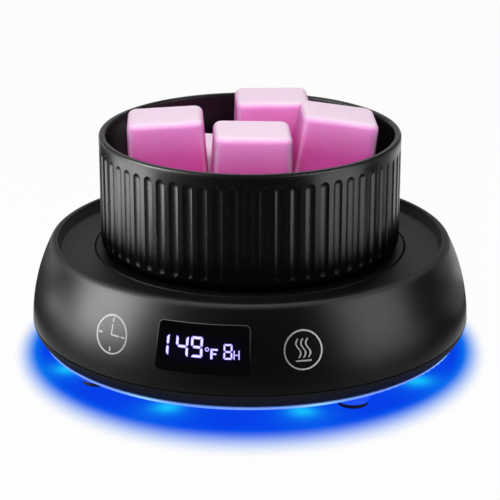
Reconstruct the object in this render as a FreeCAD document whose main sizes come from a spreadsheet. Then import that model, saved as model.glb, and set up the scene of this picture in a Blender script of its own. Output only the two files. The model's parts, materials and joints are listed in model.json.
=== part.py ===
"""Electric wax-melt warmer: a round heated base, a fluted dish that lifts off it and wax melts.

Millimetres. The origin is on the floor under the middle, +Z is up and the display faces -Y.
"""
import FreeCAD, Part
import math
import os
import Sketcher

DRIVING = (
    # Wax melts, in a frame turned by wax_turn about the dish's axis
    ("wax_bottom_width", 23.8),
    ("wax_bottom_depth", 21.7),
    ("wax_draft", 2.0),
    ("wax_height", 19.0),
    ("wax_corner", 3.0),
    ("wax_edge", 2.0),
    ("wax_gap", 0.2),
    ("wax_seat", 0.3),
    ("wax_turn", 14.0),
    ("wax_front_x", -0.5),
    ("wax_front_y", -19.4),
    ("wax_left_y", -3.95),
    ("wax_right_y", -6.55),
    ("wax_back_x", 7.6),
    ("wax_back_gap", 4.5),
    ("wax_left_lean", 2.8),
    ("wax_front_lean", 1.4),
    ("wax_right_lean", 8.5),
    ("wax_side_gap", 0.9),
    ("wax_side_room", 2.1),
    # Dish
    ("dish_spare", 3.99),
    ("dish_wall", 2.0),
    ("dish_floor", 2.5),
    ("dish_seat", 0.3),
    ("dish_height", 35.1),
    ("dish_foot_round", 3.0),
    ("dish_rim_round", 0.8),
    ("flute_width", 3.1),
    ("flute_depth", 0.35),
    ("flute_count", 64),
    ("flute_band", 3.6),
    ("flute_start", 3.1),
    # Heating plate and what lies under it
    ("plate_margin", 1.9),
    ("plate_thickness", 3.0),
    ("plate_rise", 0.2),
    ("plate_gap", 0.25),
    ("plate_bevel", 0.4),
    ("gasket_thickness", 0.5),
    ("gasket_width", 2.4),
    ("heater_thickness", 0.8),
    ("heater_margin", 4.0),
    ("insulation_margin", 1.6),
    ("shield_thickness", 0.8),
    ("shield_screw_radius", 1.2),
    ("shield_screw_head", 2.3),
    ("shield_screw_head_height", 1.5),
    ("shield_screw_length", 3.0),
    ("sensor_radius", 1.8),
    ("sensor_sink", 1.4),
    ("retainer_radius", 4.2),
    ("retainer_height", 1.4),
    ("fuse_radius", 1.7),
    ("fuse_length", 11.0),
    ("fuse_wire_radius", 0.5),
    ("fuse_wire_length", 7.0),
    ("fuse_back", 20.0),
    ("clamp_thickness", 0.6),
    ("clamp_width", 5.0),
    ("clamp_wing", 4.0),
    # Upper housing
    ("ledge_width", 3.1),
    ("ledge_thickness", 3.5),
    ("deck_width", 10.2),
    ("recess_depth", 3.0),
    ("lip_slope", 1.1),
    ("lip_width", 1.75),
    ("lip_round", 0.5),
    ("shoulder_round", 2.0),
    ("base_height", 29.0),
    ("flank_radius", 54.4),
    ("wall", 2.2),
    ("column_radius", 4.0),
    # Lower housing
    ("band_height", 4.4),
    ("widest_drop", 1.3),
    ("band_taper", 2.3),
    ("band_curve", 9.0),
    ("groove_height", 0.4),
    ("groove_depth", 0.6),
    ("band_wall", 2.0),
    ("tongue_height", 2.0),
    ("tongue_wall", 1.4),
    ("fit_gap", 0.25),
    ("floor_thickness", 1.6),
    # Diffuser and feet
    ("diffuser_rim", 1.4),
    ("diffuser_inset", 0.4),
    ("diffuser_round", 0.6),
    ("spigot_height", 0.5),
    ("spigot_width", 1.0),
    ("foot_inset", 4.4),
    ("pad_thickness", 1.4),
    ("pad_radius", 4.6),
    ("pad_round", 0.4),
    ("pad_plug", 0.5),
    ("boss_height", 4.6),
    ("boss_radius", 4.9),
    ("boss_flare", 2.3),
    ("boss_curve", 8.0),
    ("spacer_radius", 3.2),
    # Case screws
    ("screw_radius", 1.5),
    ("screw_head_radius", 2.8),
    ("screw_head_height", 2.0),
    ("screw_head_depth", 0.6),
    ("screw_reach", 8.0),
    ("screw_clearance", 0.1),
    ("head_clearance", 0.3),
    # Light ring
    ("led_gap", 0.7),
    ("led_height", 1.3),
    ("led_length", 3.5),
    ("led_width", 2.8),
    ("led_count", 8),
    ("led_turn", 32.0),
    ("led_board_thickness", 1.0),
    ("led_board_width", 4.6),
    # Control board and what is on it
    ("standoff_height", 3.0),
    ("standoff_radius", 3.0),
    ("standoff_side", 24.0),
    ("standoff_front", 30.0),
    ("standoff_back", 36.0),
    ("board_thickness", 1.6),
    ("board_half_width", 28.0),
    ("board_front", 34.0),
    ("board_back", 46.0),
    ("board_neck", 8.0),
    ("board_screw_radius", 1.1),
    ("board_screw_head", 2.2),
    ("board_screw_head_height", 1.4),
    ("chip_width", 7.0),
    ("chip_height", 1.4),
    ("chip_leg_reach", 1.0),
    ("chip_leg_height", 0.5),
    ("transistor_width", 6.6),
    ("transistor_height", 2.4),
    ("transistor_tab_width", 3.3),
    ("transistor_tab_length", 10.6),
    ("transistor_tab_thickness", 0.8),
    ("transistor_gap", 7.4),
    ("capacitor_radius", 3.2),
    ("capacitor_height", 6.4),
    ("capacitor_groove", 0.3),
    ("capacitor_groove_rise", 1.1),
    ("capacitor_gap", 1.6),
    ("buzzer_radius", 4.6),
    ("buzzer_height", 4.6),
    ("buzzer_vent", 1.0),
    ("buzzer_vent_depth", 2.3),
    ("connector_width", 8.0),
    ("connector_depth", 5.6),
    ("connector_height", 4.6),
    ("lead_radius", 0.7),
    ("sensor_lead_radius", 0.55),
    ("lead_spacing", 2.5),
    ("lead_clearance", 0.4),
    ("heater_lead_x", 18.0),
    ("heater_lead_y", 12.0),
    # Power jack
    ("jack_width", 9.0),
    ("jack_rise", 6.5),
    ("jack_height", 10.6),
    ("jack_hole_radius", 5.4),
    ("jack_hole_reach", 13.2),
    ("jack_flange_radius", 5.9),
    ("jack_flange_thickness", 1.2),
    ("jack_bore_radius", 3.15),
    ("jack_bore_depth", 9.6),
    ("jack_pin_radius", 1.05),
    ("jack_pin_sink", 0.6),
    ("jack_gap", 0.3),
    # Display and touch keys
    ("window_top_drop", 5.6),
    ("window_height", 11.7),
    ("window_angle", 23.2),
    ("window_thickness", 1.3),
    ("window_corner", 1.6),
    ("window_clearance", 0.12),
    ("window_ledge", 1.2),
    ("window_cut_depth", 4.4),
    ("display_board_gap", 1.0),
    ("display_board_half_width", 30.0),
    ("display_board_drop", 0.8),
    ("display_board_slot", 1.2),
    ("guide_height", 4.4),
    ("guide_width", 6.0),
    ("guide_wall", 1.4),
    ("guide_side", 20.0),
    ("guide_clearance", 0.1),
    ("display_width", 24.0),
    ("display_front_gap", 0.6),
    ("key_angle", 24.9),
    ("key_drop", 12.2),
    ("touch_radius", 3.5),
    ("touch_gap", 0.2),
    ("ribbon_width", 10.0),
    ("ribbon_thickness", 0.8),
    ("ribbon_sag", 24.0),
    ("ribbon_rise", 2.0),
)

doc = FreeCAD.newDocument("WaxWarmer")
sheet = doc.addObject("Spreadsheet::Sheet", "Sizes")


class Size:
    """A number together with the sheet formula that it comes from."""

    def __init__(self, text, value):
        self.text = text
        self.value = value

    def joined(self, sign, other, value):
        return Size("(%s %s %s)" % (self.text, sign, other.text), value)

    def __add__(self, other):
        other = as_size(other)
        return self.joined("+", other, self.value + other.value)

    def __sub__(self, other):
        other = as_size(other)
        return self.joined("-", other, self.value - other.value)

    def __mul__(self, other):
        other = as_size(other)
        return self.joined("*", other, self.value * other.value)

    def __truediv__(self, other):
        other = as_size(other)
        return self.joined("/", other, self.value / other.value)

    def __neg__(self):
        return Size("(0 - %s)" % self.text, -self.value)


def as_size(item):
    return item if isinstance(item, Size) else Size(repr(float(item)), float(item))


def root(size):
    return Size("sqrt(%s)" % size.text, math.sqrt(size.value))


def cosine(size):
    return Size("cos(%s * 1 deg)" % size.text, math.cos(math.radians(size.value)))


def sine(size):
    return Size("sin(%s * 1 deg)" % size.text, math.sin(math.radians(size.value)))


def side(hypotenuse, other_side):
    """The third side of a right triangle."""
    return root(hypotenuse * hypotenuse - other_side * other_side)


def fill_sheet():
    for row, (alias, value) in enumerate(DRIVING, start=1):
        sheet.set("A%d" % row, alias)
        sheet.set("B%d" % row, str(value))
        sheet.setAlias("B%d" % row, alias)
    doc.recompute()
    return {alias: Size("Sizes." + alias, value) for alias, value in DRIVING}


S = fill_sheet()
NONE = as_size(0)
NEAR = 0.01
CORNERS = 4


def bind(target, path, size):
    target.setExpression(path, as_size(size).text)


def place(target, x=NONE, y=NONE, z=NONE):
    bind(target, "Placement.Base.x", x)
    bind(target, "Placement.Base.y", y)
    bind(target, "Placement.Base.z", z)
    return target


def turn(target, degrees):
    """Turn a piece about the vertical axis."""
    target.Placement = FreeCAD.Placement(FreeCAD.Vector(), FreeCAD.Rotation(FreeCAD.Vector(0, 0, 1), 1))
    bind(target, "Placement.Rotation.Angle", degrees)
    return target


class Arc:
    """A round stretch of an outline; bend is 1 where it turns left on its way, -1 where it turns right."""

    def __init__(self, radius, bend):
        self.radius = radius
        self.bend = bend


def new_body(label):
    body = doc.addObject("PartDesign::Body", label)
    body.Label = label
    return body


def origin_part(body, role):
    return next(item for item in body.Origin.OriginFeatures if item.Role == role)


def new_sketch(body, name, role, lift=None):
    sketch = body.newObject("Sketcher::SketchObject", name)
    sketch.AttachmentSupport = (origin_part(body, role), [""])
    sketch.MapMode = "FlatFace"
    if lift is not None:
        bind(sketch, "AttachmentOffset.Base.z", lift)
    return sketch


def pin_point(sketch, curve, end, x, y):
    """Fix a point of a sketch at two sizes from the sketch's origin."""
    for kind, size, axis in (("DistanceX", as_size(x), -2), ("DistanceY", as_size(y), -1)):
        if size.value == 0:
            sketch.addConstraint(Sketcher.Constraint("PointOnObject", curve, end, axis))
        elif size.value > 0:
            index = sketch.addConstraint(Sketcher.Constraint(kind, -1, 1, curve, end, size.value))
            bind(sketch, "Constraints[%d]" % index, size)
        else:
            index = sketch.addConstraint(Sketcher.Constraint(kind, curve, end, -1, 1, -size.value))
            bind(sketch, "Constraints[%d]" % index, -size)


def arc_curve(start, finish, arc):
    """The arc between two points, and which of its ends is the start."""
    middle = (start + finish) * 0.5
    along = finish - start
    left = FreeCAD.Vector(-along.y, along.x, 0).normalize()
    rise = math.sqrt(max(arc.radius.value ** 2 - (along.Length / 2) ** 2, 0))
    centre = middle + left * (arc.bend * rise)
    first, last = (start, finish) if arc.bend > 0 else (finish, start)
    angles = [math.atan2(point.y - centre.y, point.x - centre.x) for point in (first, last)]
    circle = Part.Circle(centre, FreeCAD.Vector(0, 0, 1), arc.radius.value)
    return Part.ArcOfCircle(circle, angles[0], angles[1]), (1 if arc.bend > 0 else 2)


def outline(sketch, corners):
    """Draw a closed outline. A corner is (x, y), or (x, y, Arc) where an arc leads on from it."""
    points = [FreeCAD.Vector(as_size(corner[0]).value, as_size(corner[1]).value, 0) for corner in corners]
    starts = []
    for index, corner in enumerate(corners):
        finish = points[(index + 1) % len(points)]
        if len(corner) == 3:
            curve, first_end = arc_curve(points[index], finish, corner[2])
        else:
            curve, first_end = Part.LineSegment(points[index], finish), 1
        starts.append((sketch.addGeometry(curve, False), first_end))
    for index, corner in enumerate(corners):
        curve, first_end = starts[index]
        next_curve, next_end = starts[(index + 1) % len(corners)]
        joint = Sketcher.Constraint("Coincident", curve, 3 - first_end, next_curve, next_end)
        sketch.addConstraint(joint)
        pin_point(sketch, curve, first_end, corner[0], corner[1])
        if len(corner) == 3:
            number = sketch.addConstraint(Sketcher.Constraint("Radius", curve, corner[2].radius.value))
            bind(sketch, "Constraints[%d]" % number, corner[2].radius)


def rectangle(x_low, x_high, y_low, y_high):
    return [(x_low, y_low), (x_high, y_low), (x_high, y_high), (x_low, y_high)]


def circle(sketch, x, y, radius):
    centre = FreeCAD.Vector(as_size(x).value, as_size(y).value, 0)
    curve = sketch.addGeometry(Part.Circle(centre, FreeCAD.Vector(0, 0, 1), radius.value), False)
    pin_point(sketch, curve, 3, x, y)
    number = sketch.addConstraint(Sketcher.Constraint("Radius", curve, radius.value))
    bind(sketch, "Constraints[%d]" % number, radius)


def spin(body, kind, name, corners, axis_x=None, angle=None):
    """Revolve (or groove) an upright outline about the body's axis, or about an upright line at axis_x."""
    sketch = new_sketch(body, name + "_outline", "XZ_Plane")
    outline(sketch, corners)
    axis = "V_Axis"
    if axis_x is not None:
        heights = [as_size(corner[1]) for corner in corners]
        low = min(heights, key=lambda size: size.value)
        high = max(heights, key=lambda size: size.value)
        ends = [FreeCAD.Vector(axis_x.value, size.value, 0) for size in (low, high)]
        line = sketch.addGeometry(Part.LineSegment(ends[0], ends[1]), True)
        pin_point(sketch, line, 1, axis_x, low)
        pin_point(sketch, line, 2, axis_x, high)
        axis = "Axis0"
    feature = body.newObject("PartDesign::" + kind, name)
    feature.Profile = sketch
    feature.ReferenceAxis = (sketch, [axis])
    feature.Angle = 360
    if angle is not None:
        feature.Midplane = True
        bind(feature, "Angle", angle)
    sketch.Visibility = False
    return feature


def extrude(body, kind, name, shapes, lift, length, role="XY_Plane", reverse=False):
    """Pad or pocket loops (lists of corners) and circles (x, y, radius tuples) drawn on a lifted plane."""
    sketch = new_sketch(body, name + "_outline", role, lift)
    for shape in shapes:
        if isinstance(shape, tuple):
            circle(sketch, *shape)
        else:
            outline(sketch, shape)
    feature = body.newObject("PartDesign::" + kind, name)
    feature.Profile = sketch
    feature.Reversed = reverse
    bind(feature, "Length", length)
    sketch.Visibility = False
    return feature


def around(body, name, features, count):
    """Repeat features evenly about the body's upright axis."""
    pattern = body.newObject("PartDesign::PolarPattern", name)
    pattern.Originals = features
    pattern.Axis = (origin_part(body, "Z_Axis"), [""])
    pattern.Angle = 360
    if isinstance(count, Size):
        bind(pattern, "Occurrences", count)
    else:
        pattern.Occurrences = count
    body.Tip = pattern
    return pattern


def round_edges(body, name, chosen, radius):
    """Fillet the edges of the body for which chosen(edge) is true."""
    doc.recompute()
    base = body.Tip
    edges = ["Edge%d" % (index + 1) for index, edge in enumerate(base.Shape.Edges) if chosen(edge)]
    fillet = body.newObject("PartDesign::Fillet", name)
    fillet.Base = (base, edges)
    bind(fillet, "Radius", radius)
    body.Tip = fillet
    return fillet


def is_ring_at(radius, height):
    """True for a circular edge about the upright axis at a radius and height."""
    def chosen(edge):
        box = edge.BoundBox
        flat = box.ZLength < NEAR and abs(box.ZMin - height.value) < NEAR
        return flat and abs(box.XMax - radius.value) < NEAR
    return chosen


def is_level(height):
    def chosen(edge):
        box = edge.BoundBox
        return box.ZLength < NEAR and abs(box.ZMin - height.value) < NEAR
    return chosen


def block(label, width, depth, height, x, y, z):
    """A box centred on x and y that stands on z."""
    piece = doc.addObject("Part::Box", label)
    piece.Label = label
    bind(piece, "Length", width)
    bind(piece, "Width", depth)
    bind(piece, "Height", height)
    return place(piece, x - width / 2, y - depth / 2, z)


def rod(label, radius, length, x, y, z):
    """An upright cylinder that stands on z."""
    piece = doc.addObject("Part::Cylinder", label)
    piece.Label = label
    bind(piece, "Radius", radius)
    bind(piece, "Height", length)
    return place(piece, x, y, z)


def level_rod(label, radius, length, x, y, z):
    """A cylinder that runs along +Y from y."""
    piece = rod(label, radius, length, x, y, z)
    piece.Placement.Rotation = FreeCAD.Rotation(FreeCAD.Vector(1, 0, 0), -90)
    return piece


def fuse(label, pieces):
    joined = doc.addObject("Part::MultiFuse", label)
    joined.Label = label
    joined.Shapes = pieces
    return joined


def group(label, pieces):
    """Separate solids that share one sub-part."""
    together = doc.addObject("Part::Compound", label)
    together.Label = label
    together.Links = pieces
    return together


def cut(label, base, tools):
    result = doc.addObject("Part::Cut", label)
    result.Label = label
    result.Base = base
    result.Tool = tools[0] if len(tools) == 1 else fuse(label + "_cutters", tools)
    return result


def common(label, base, tool):
    result = doc.addObject("Part::Common", label)
    result.Label = label
    result.Base = base
    result.Tool = tool
    return result


# Heights, from the floor up
BOSS_FOOT = S["pad_thickness"]
DIFFUSER_BOTTOM = BOSS_FOOT + S["boss_height"]
BAND_BOTTOM = DIFFUSER_BOTTOM + S["diffuser_rim"]
LED_BOTTOM = BAND_BOTTOM + S["led_gap"]
LED_TOP = LED_BOTTOM + S["led_height"]
FLOOR_BOTTOM = LED_TOP + S["led_board_thickness"]
FLOOR_TOP = FLOOR_BOTTOM + S["floor_thickness"]
PARTING = BAND_BOTTOM + S["band_height"]
WIDEST = PARTING - S["widest_drop"]
BOARD_BOTTOM = FLOOR_TOP + S["standoff_height"]
BOARD_TOP = BOARD_BOTTOM + S["board_thickness"]
BASE_TOP = BAND_BOTTOM + S["base_height"]
DECK = BASE_TOP - S["recess_depth"]
DECK_UNDER = DECK - S["wall"]
PLATE_TOP = DECK + S["plate_rise"]
PLATE_BOTTOM = PLATE_TOP - S["plate_thickness"]
LEDGE_TOP = PLATE_BOTTOM - S["gasket_thickness"]
LEDGE_BOTTOM = LEDGE_TOP - S["ledge_thickness"]
SHIELD_BOTTOM = LEDGE_BOTTOM - S["shield_thickness"]
HEATER_BOTTOM = PLATE_BOTTOM - S["heater_thickness"]
DISH_BOTTOM = PLATE_TOP + S["dish_seat"]
DISH_FLOOR_TOP = DISH_BOTTOM + S["dish_floor"]
RIM = DISH_BOTTOM + S["dish_height"]
JACK_AXIS = BOARD_TOP + S["jack_rise"]
WINDOW_TOP = BASE_TOP - S["window_top_drop"]
WINDOW_BOTTOM = WINDOW_TOP - S["window_height"]
KEY_HEIGHT = BASE_TOP - S["key_drop"]

# Radii, from the wax outwards
WAX_PITCH = S["wax_bottom_width"] + S["wax_gap"]
WAX_HALF = S["wax_bottom_width"] / 2
WAX_HALF_DEPTH = S["wax_bottom_depth"] / 2
WAX_FAR_X = S["wax_front_x"] + WAX_PITCH + WAX_HALF
WAX_FAR_Y = WAX_HALF_DEPTH - S["wax_right_y"]
WAX_REACH = root(WAX_FAR_X * WAX_FAR_X + WAX_FAR_Y * WAX_FAR_Y)
DISH_INNER = WAX_REACH + S["dish_spare"]
DISH_OUTER = DISH_INNER + S["dish_wall"]
PLATE_RADIUS = DISH_OUTER + S["plate_margin"]
PLATE_OPENING = PLATE_RADIUS + S["plate_gap"]
LEDGE_INNER = PLATE_RADIUS - S["ledge_width"]
LEDGE_OUTER = PLATE_OPENING + S["wall"]
RECESS_RADIUS = PLATE_RADIUS + S["deck_width"]
LIP_INNER = RECESS_RADIUS + S["lip_slope"]
CREST_RADIUS = LIP_INNER + S["lip_width"]
FLANK_CENTRE = CREST_RADIUS - side(S["flank_radius"], BASE_TOP - WIDEST)
FOOT_CIRCLE = LIP_INNER - S["foot_inset"]
CORNER_TURN = as_size(45)
SHIELD_SCREW_CIRCLE = (LEDGE_INNER + LEDGE_OUTER) / 2


def flank(height, inset=NONE):
    """Radius of the housing's bowed flank at a height, or of a surface that lies inset under it."""
    return FLANK_CENTRE + side(S["flank_radius"] - inset, height - WIDEST)


BAND_RADIUS = flank(PARTING)
BAND_FOOT_RADIUS = BAND_RADIUS - S["band_taper"]
POCKET_RADIUS = BAND_FOOT_RADIUS - S["band_wall"]
TONGUE_OUTER = flank(PARTING, S["wall"]) - S["fit_gap"]
TONGUE_INNER = TONGUE_OUTER - S["tongue_wall"]
LED_BOARD_OUTER = POCKET_RADIUS - S["fit_gap"]
LED_CIRCLE = LED_BOARD_OUTER - S["led_board_width"] / 2
DISPLAY_BOARD_BACK = LEDGE_OUTER + S["display_board_gap"]
DISPLAY_BOARD_FRONT = DISPLAY_BOARD_BACK + S["board_thickness"]


def window_solid(label, outer_inset, inner_inset, spread):
    """A curved slab that follows the flank across the window, grown by spread on every side."""
    body = new_body(label)
    low = WINDOW_BOTTOM - spread
    high = WINDOW_TOP + spread
    outer = Arc(S["flank_radius"] - outer_inset, 1)
    inner = Arc(S["flank_radius"] - inner_inset, -1)
    spread_angle = spread / flank(WINDOW_BOTTOM) * (360 / math.pi)
    corners = [(flank(low, inner_inset), low), (flank(low, outer_inset), low, outer),
               (flank(high, outer_inset), high), (flank(high, inner_inset), high, inner)]
    spin(body, "Revolution", label + "_slab", corners, angle=S["window_angle"] + spread_angle)

    def is_corner(edge):
        return edge.Curve.TypeId == "Part::GeomLine"

    round_edges(body, label + "_corners", is_corner, S["window_corner"] + spread)
    return turn(body, as_size(-90))


def upper_housing():
    """Bowed shell with a lip, a sunken deck, the plate's ledge and columns for the case screws."""
    shell = new_body("housing_shell")
    flank_arc = Arc(S["flank_radius"], 1)
    inner_arc = Arc(S["flank_radius"] - S["wall"], -1)
    spin(shell, "Revolution", "housing_wall", [
        (flank(PARTING, S["wall"]), PARTING), (BAND_RADIUS, PARTING, flank_arc),
        (CREST_RADIUS, BASE_TOP), (LIP_INNER, BASE_TOP), (RECESS_RADIUS, DECK),
        (PLATE_OPENING, DECK), (PLATE_OPENING, LEDGE_TOP), (LEDGE_INNER, LEDGE_TOP),
        (LEDGE_INNER, LEDGE_BOTTOM), (LEDGE_OUTER, LEDGE_BOTTOM), (LEDGE_OUTER, DECK_UNDER),
        (flank(DECK_UNDER, S["wall"]), DECK_UNDER, inner_arc)])
    round_edges(shell, "shoulder", is_ring_at(CREST_RADIUS, BASE_TOP), S["shoulder_round"])
    round_edges(shell, "lip_edge", is_ring_at(LIP_INNER, BASE_TOP), S["lip_round"])
    column = extrude(shell, "Pad", "column", [(FOOT_CIRCLE, NONE, S["column_radius"])],
                     FLOOR_TOP, DECK_UNDER - FLOOR_TOP + S["wall"] / 2)
    pilot_radius = S["screw_radius"] + S["screw_clearance"]
    pilot = extrude(shell, "Pocket", "column_pilot", [(FOOT_CIRCLE, NONE, pilot_radius)],
                    FLOOR_TOP, S["screw_reach"] + S["screw_clearance"], reverse=True)
    shield_radius = S["shield_screw_radius"] + S["screw_clearance"]
    shield_pilot = extrude(shell, "Pocket", "shield_pilot", [(SHIELD_SCREW_CIRCLE, NONE, shield_radius)],
                           LEDGE_BOTTOM, S["shield_screw_length"] - S["shield_thickness"], reverse=True)
    around(shell, "columns", [column, pilot, shield_pilot], CORNERS)
    turn(shell, CORNER_TURN)
    frame = window_solid("window_frame_cutter", -S["wall"], S["window_thickness"] + S["window_clearance"],
                         S["window_clearance"])
    light_way = window_solid("window_light_cutter", -S["wall"], S["window_cut_depth"], -S["window_ledge"])
    jack_hole = level_rod("jack_hole_cutter", S["jack_hole_radius"], S["jack_hole_reach"],
                          NONE, jack_front(), JACK_AXIS)
    return cut("upper_housing", shell, [frame, light_way, jack_hole])


def display_guides():
    """Slotted posts on the floor that hold the display board upright."""
    depth = S["board_thickness"] + S["guide_wall"] * 2
    middle = -(DISPLAY_BOARD_BACK + S["board_thickness"] / 2)
    posts = []
    for name, x in (("left", -S["guide_side"]), ("right", S["guide_side"])):
        posts.append(block("guide_" + name, S["guide_width"], depth, S["guide_height"], x, middle, FLOOR_TOP))
    slot_depth = S["board_thickness"] + S["guide_clearance"] * 2
    slot_floor = FLOOR_TOP + S["display_board_slot"]
    slot = block("guide_slot", S["display_board_half_width"] * 2 + S["guide_clearance"] * 2, slot_depth,
                 S["guide_height"], NONE, middle, slot_floor)
    return posts, slot


def standoff_places():
    places = []
    for x in (-S["standoff_side"], S["standoff_side"]):
        for y in (-S["standoff_front"], S["standoff_back"]):
            places.append((x, y))
    return places


def lower_housing():
    """Tapered band and floor with a tongue into the upper housing, standoffs and display guides."""
    shell = new_body("floor_shell")
    groove_bottom = PARTING - S["groove_height"]
    groove_radius = BAND_RADIUS - S["groove_depth"]
    spin(shell, "Revolution", "floor_wall", [
        (NONE, FLOOR_BOTTOM), (POCKET_RADIUS, FLOOR_BOTTOM), (POCKET_RADIUS, BAND_BOTTOM),
        (BAND_FOOT_RADIUS, BAND_BOTTOM, Arc(S["band_curve"], 1)), (BAND_RADIUS, groove_bottom),
        (groove_radius, groove_bottom), (groove_radius, PARTING), (TONGUE_OUTER, PARTING),
        (TONGUE_OUTER, PARTING + S["tongue_height"]), (TONGUE_INNER, PARTING + S["tongue_height"]),
        (TONGUE_INNER, FLOOR_TOP), (NONE, FLOOR_TOP)])
    way = S["screw_radius"] + S["screw_clearance"]
    hole = extrude(shell, "Pocket", "screw_way", [(FOOT_CIRCLE, NONE, way)],
                   FLOOR_BOTTOM, S["floor_thickness"], reverse=True)
    around(shell, "screw_ways", [hole], CORNERS)
    turn(shell, CORNER_TURN)
    posts, slot = display_guides()
    standoffs = []
    pilots = []
    for number, (x, y) in enumerate(standoff_places()):
        standoffs.append(rod("standoff_%d" % number, S["standoff_radius"],
                             S["standoff_height"], x, y, FLOOR_TOP))
        pilots.append(rod("standoff_pilot_%d" % number, S["board_screw_radius"] + S["screw_clearance"],
                          S["standoff_height"], x, y, FLOOR_TOP))
    solid = fuse("floor_with_posts", [shell] + posts + standoffs)
    lead_ways = lead_pair("led_lead_way", S["lead_radius"] + S["lead_clearance"], NONE, led_lead_y(),
                          FLOOR_BOTTOM, FLOOR_TOP)
    return cut("lower_housing", solid, [slot] + pilots + lead_ways)


def light_diffuser():
    """Translucent plate with a flared boss at each foot and a spacer tube over it."""
    body = new_body("light_diffuser")
    edge = BAND_FOOT_RADIUS - S["diffuser_inset"]
    spigot_outer = POCKET_RADIUS - S["fit_gap"]
    spigot_top = BAND_BOTTOM + S["spigot_height"]
    spin(body, "Revolution", "plate", [
        (NONE, DIFFUSER_BOTTOM), (edge, DIFFUSER_BOTTOM), (edge, BAND_BOTTOM), (spigot_outer, BAND_BOTTOM),
        (spigot_outer, spigot_top), (spigot_outer - S["spigot_width"], spigot_top),
        (spigot_outer - S["spigot_width"], BAND_BOTTOM), (NONE, BAND_BOTTOM)])
    round_edges(body, "plate_edge", is_ring_at(edge, DIFFUSER_BOTTOM), S["diffuser_round"])
    middle = DIFFUSER_BOTTOM + S["diffuser_rim"] / 2
    wide = FOOT_CIRCLE + S["boss_radius"] + S["boss_flare"]
    boss = spin(body, "Revolution", "boss", [
        (FOOT_CIRCLE, BOSS_FOOT), (FOOT_CIRCLE + S["boss_radius"], BOSS_FOOT, Arc(S["boss_curve"], -1)),
        (wide, DIFFUSER_BOTTOM), (wide, middle), (FOOT_CIRCLE + S["spacer_radius"], middle),
        (FOOT_CIRCLE + S["spacer_radius"], FLOOR_BOTTOM), (FOOT_CIRCLE, FLOOR_BOTTOM)], axis_x=FOOT_CIRCLE)
    head_way = FOOT_CIRCLE + S["screw_head_radius"] + S["head_clearance"]
    screw_way = FOOT_CIRCLE + S["screw_radius"] + S["screw_clearance"]
    shoulder = BOSS_FOOT + S["screw_head_depth"] + S["screw_head_height"]
    way = spin(body, "Groove", "boss_way", [
        (FOOT_CIRCLE, BOSS_FOOT), (head_way, BOSS_FOOT), (head_way, shoulder), (screw_way, shoulder),
        (screw_way, FLOOR_BOTTOM), (FOOT_CIRCLE, FLOOR_BOTTOM)], axis_x=FOOT_CIRCLE)
    around(body, "bosses", [boss, way], CORNERS)
    return turn(body, CORNER_TURN)


def foot_pads():
    """Rubber feet that plug the screw holes of the bosses."""
    pads = []
    reach = FOOT_CIRCLE * cosine(CORNER_TURN)
    for name, x, y in (("front_left", -reach, -reach), ("front_right", reach, -reach),
                       ("rear_left", -reach, reach), ("rear_right", reach, reach)):
        label = "foot_pad_" + name
        body = new_body(label)
        plug = S["screw_head_radius"]
        spin(body, "Revolution", label + "_turned", [
            (NONE, NONE), (S["pad_radius"], NONE), (S["pad_radius"], S["pad_thickness"]),
            (plug, S["pad_thickness"]), (plug, S["pad_thickness"] + S["pad_plug"]),
            (NONE, S["pad_thickness"] + S["pad_plug"])])
        round_edges(body, label + "_edge", is_ring_at(S["pad_radius"], NONE), S["pad_round"])
        pads.append(place(body, x, y))
    return pads


def case_screws():
    """Screws that run up through the feet and clamp diffuser and floor to the columns."""
    body = new_body("case_screws")
    under_head = BOSS_FOOT + S["screw_head_depth"] + S["screw_head_height"]
    screw = spin(body, "Revolution", "case_screw", [
        (FOOT_CIRCLE, BOSS_FOOT + S["screw_head_depth"]),
        (FOOT_CIRCLE + S["screw_head_radius"], BOSS_FOOT + S["screw_head_depth"]),
        (FOOT_CIRCLE + S["screw_head_radius"], under_head), (FOOT_CIRCLE + S["screw_radius"], under_head),
        (FOOT_CIRCLE + S["screw_radius"], FLOOR_TOP + S["screw_reach"]),
        (FOOT_CIRCLE, FLOOR_TOP + S["screw_reach"])], axis_x=FOOT_CIRCLE)
    around(body, "case_screw_set", [screw], CORNERS)
    return turn(body, CORNER_TURN)


def heating_plate():
    body = new_body("heating_plate")
    bevel = S["plate_bevel"]
    socket = S["sensor_radius"] + S["screw_clearance"]
    socket_top = PLATE_BOTTOM + S["sensor_sink"] + S["screw_clearance"]
    spin(body, "Revolution", "plate_disc", [
        (NONE, socket_top), (socket, socket_top), (socket, PLATE_BOTTOM), (PLATE_RADIUS, PLATE_BOTTOM),
        (PLATE_RADIUS, PLATE_TOP - bevel), (PLATE_RADIUS - bevel, PLATE_TOP), (NONE, PLATE_TOP)])
    return body


def plate_gasket():
    body = new_body("plate_gasket")
    outer = PLATE_RADIUS
    inner = outer - S["gasket_width"]
    spin(body, "Revolution", "gasket_ring", [
        (inner, LEDGE_TOP), (outer, LEDGE_TOP), (outer, PLATE_BOTTOM), (inner, PLATE_BOTTOM)])
    return body


def lead_pair(label, radius, x, y, low, high):
    """Two upright leads side by side, or the holes for them."""
    offset = S["lead_spacing"] / 2
    return [rod(label + "_left", radius, high - low, x - offset, y, low),
            rod(label + "_right", radius, high - low, x + offset, y, low)]


def sensor_way(label, low, high):
    return rod(label, S["sensor_radius"] + S["lead_clearance"], high - low, NONE, NONE, low)


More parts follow.
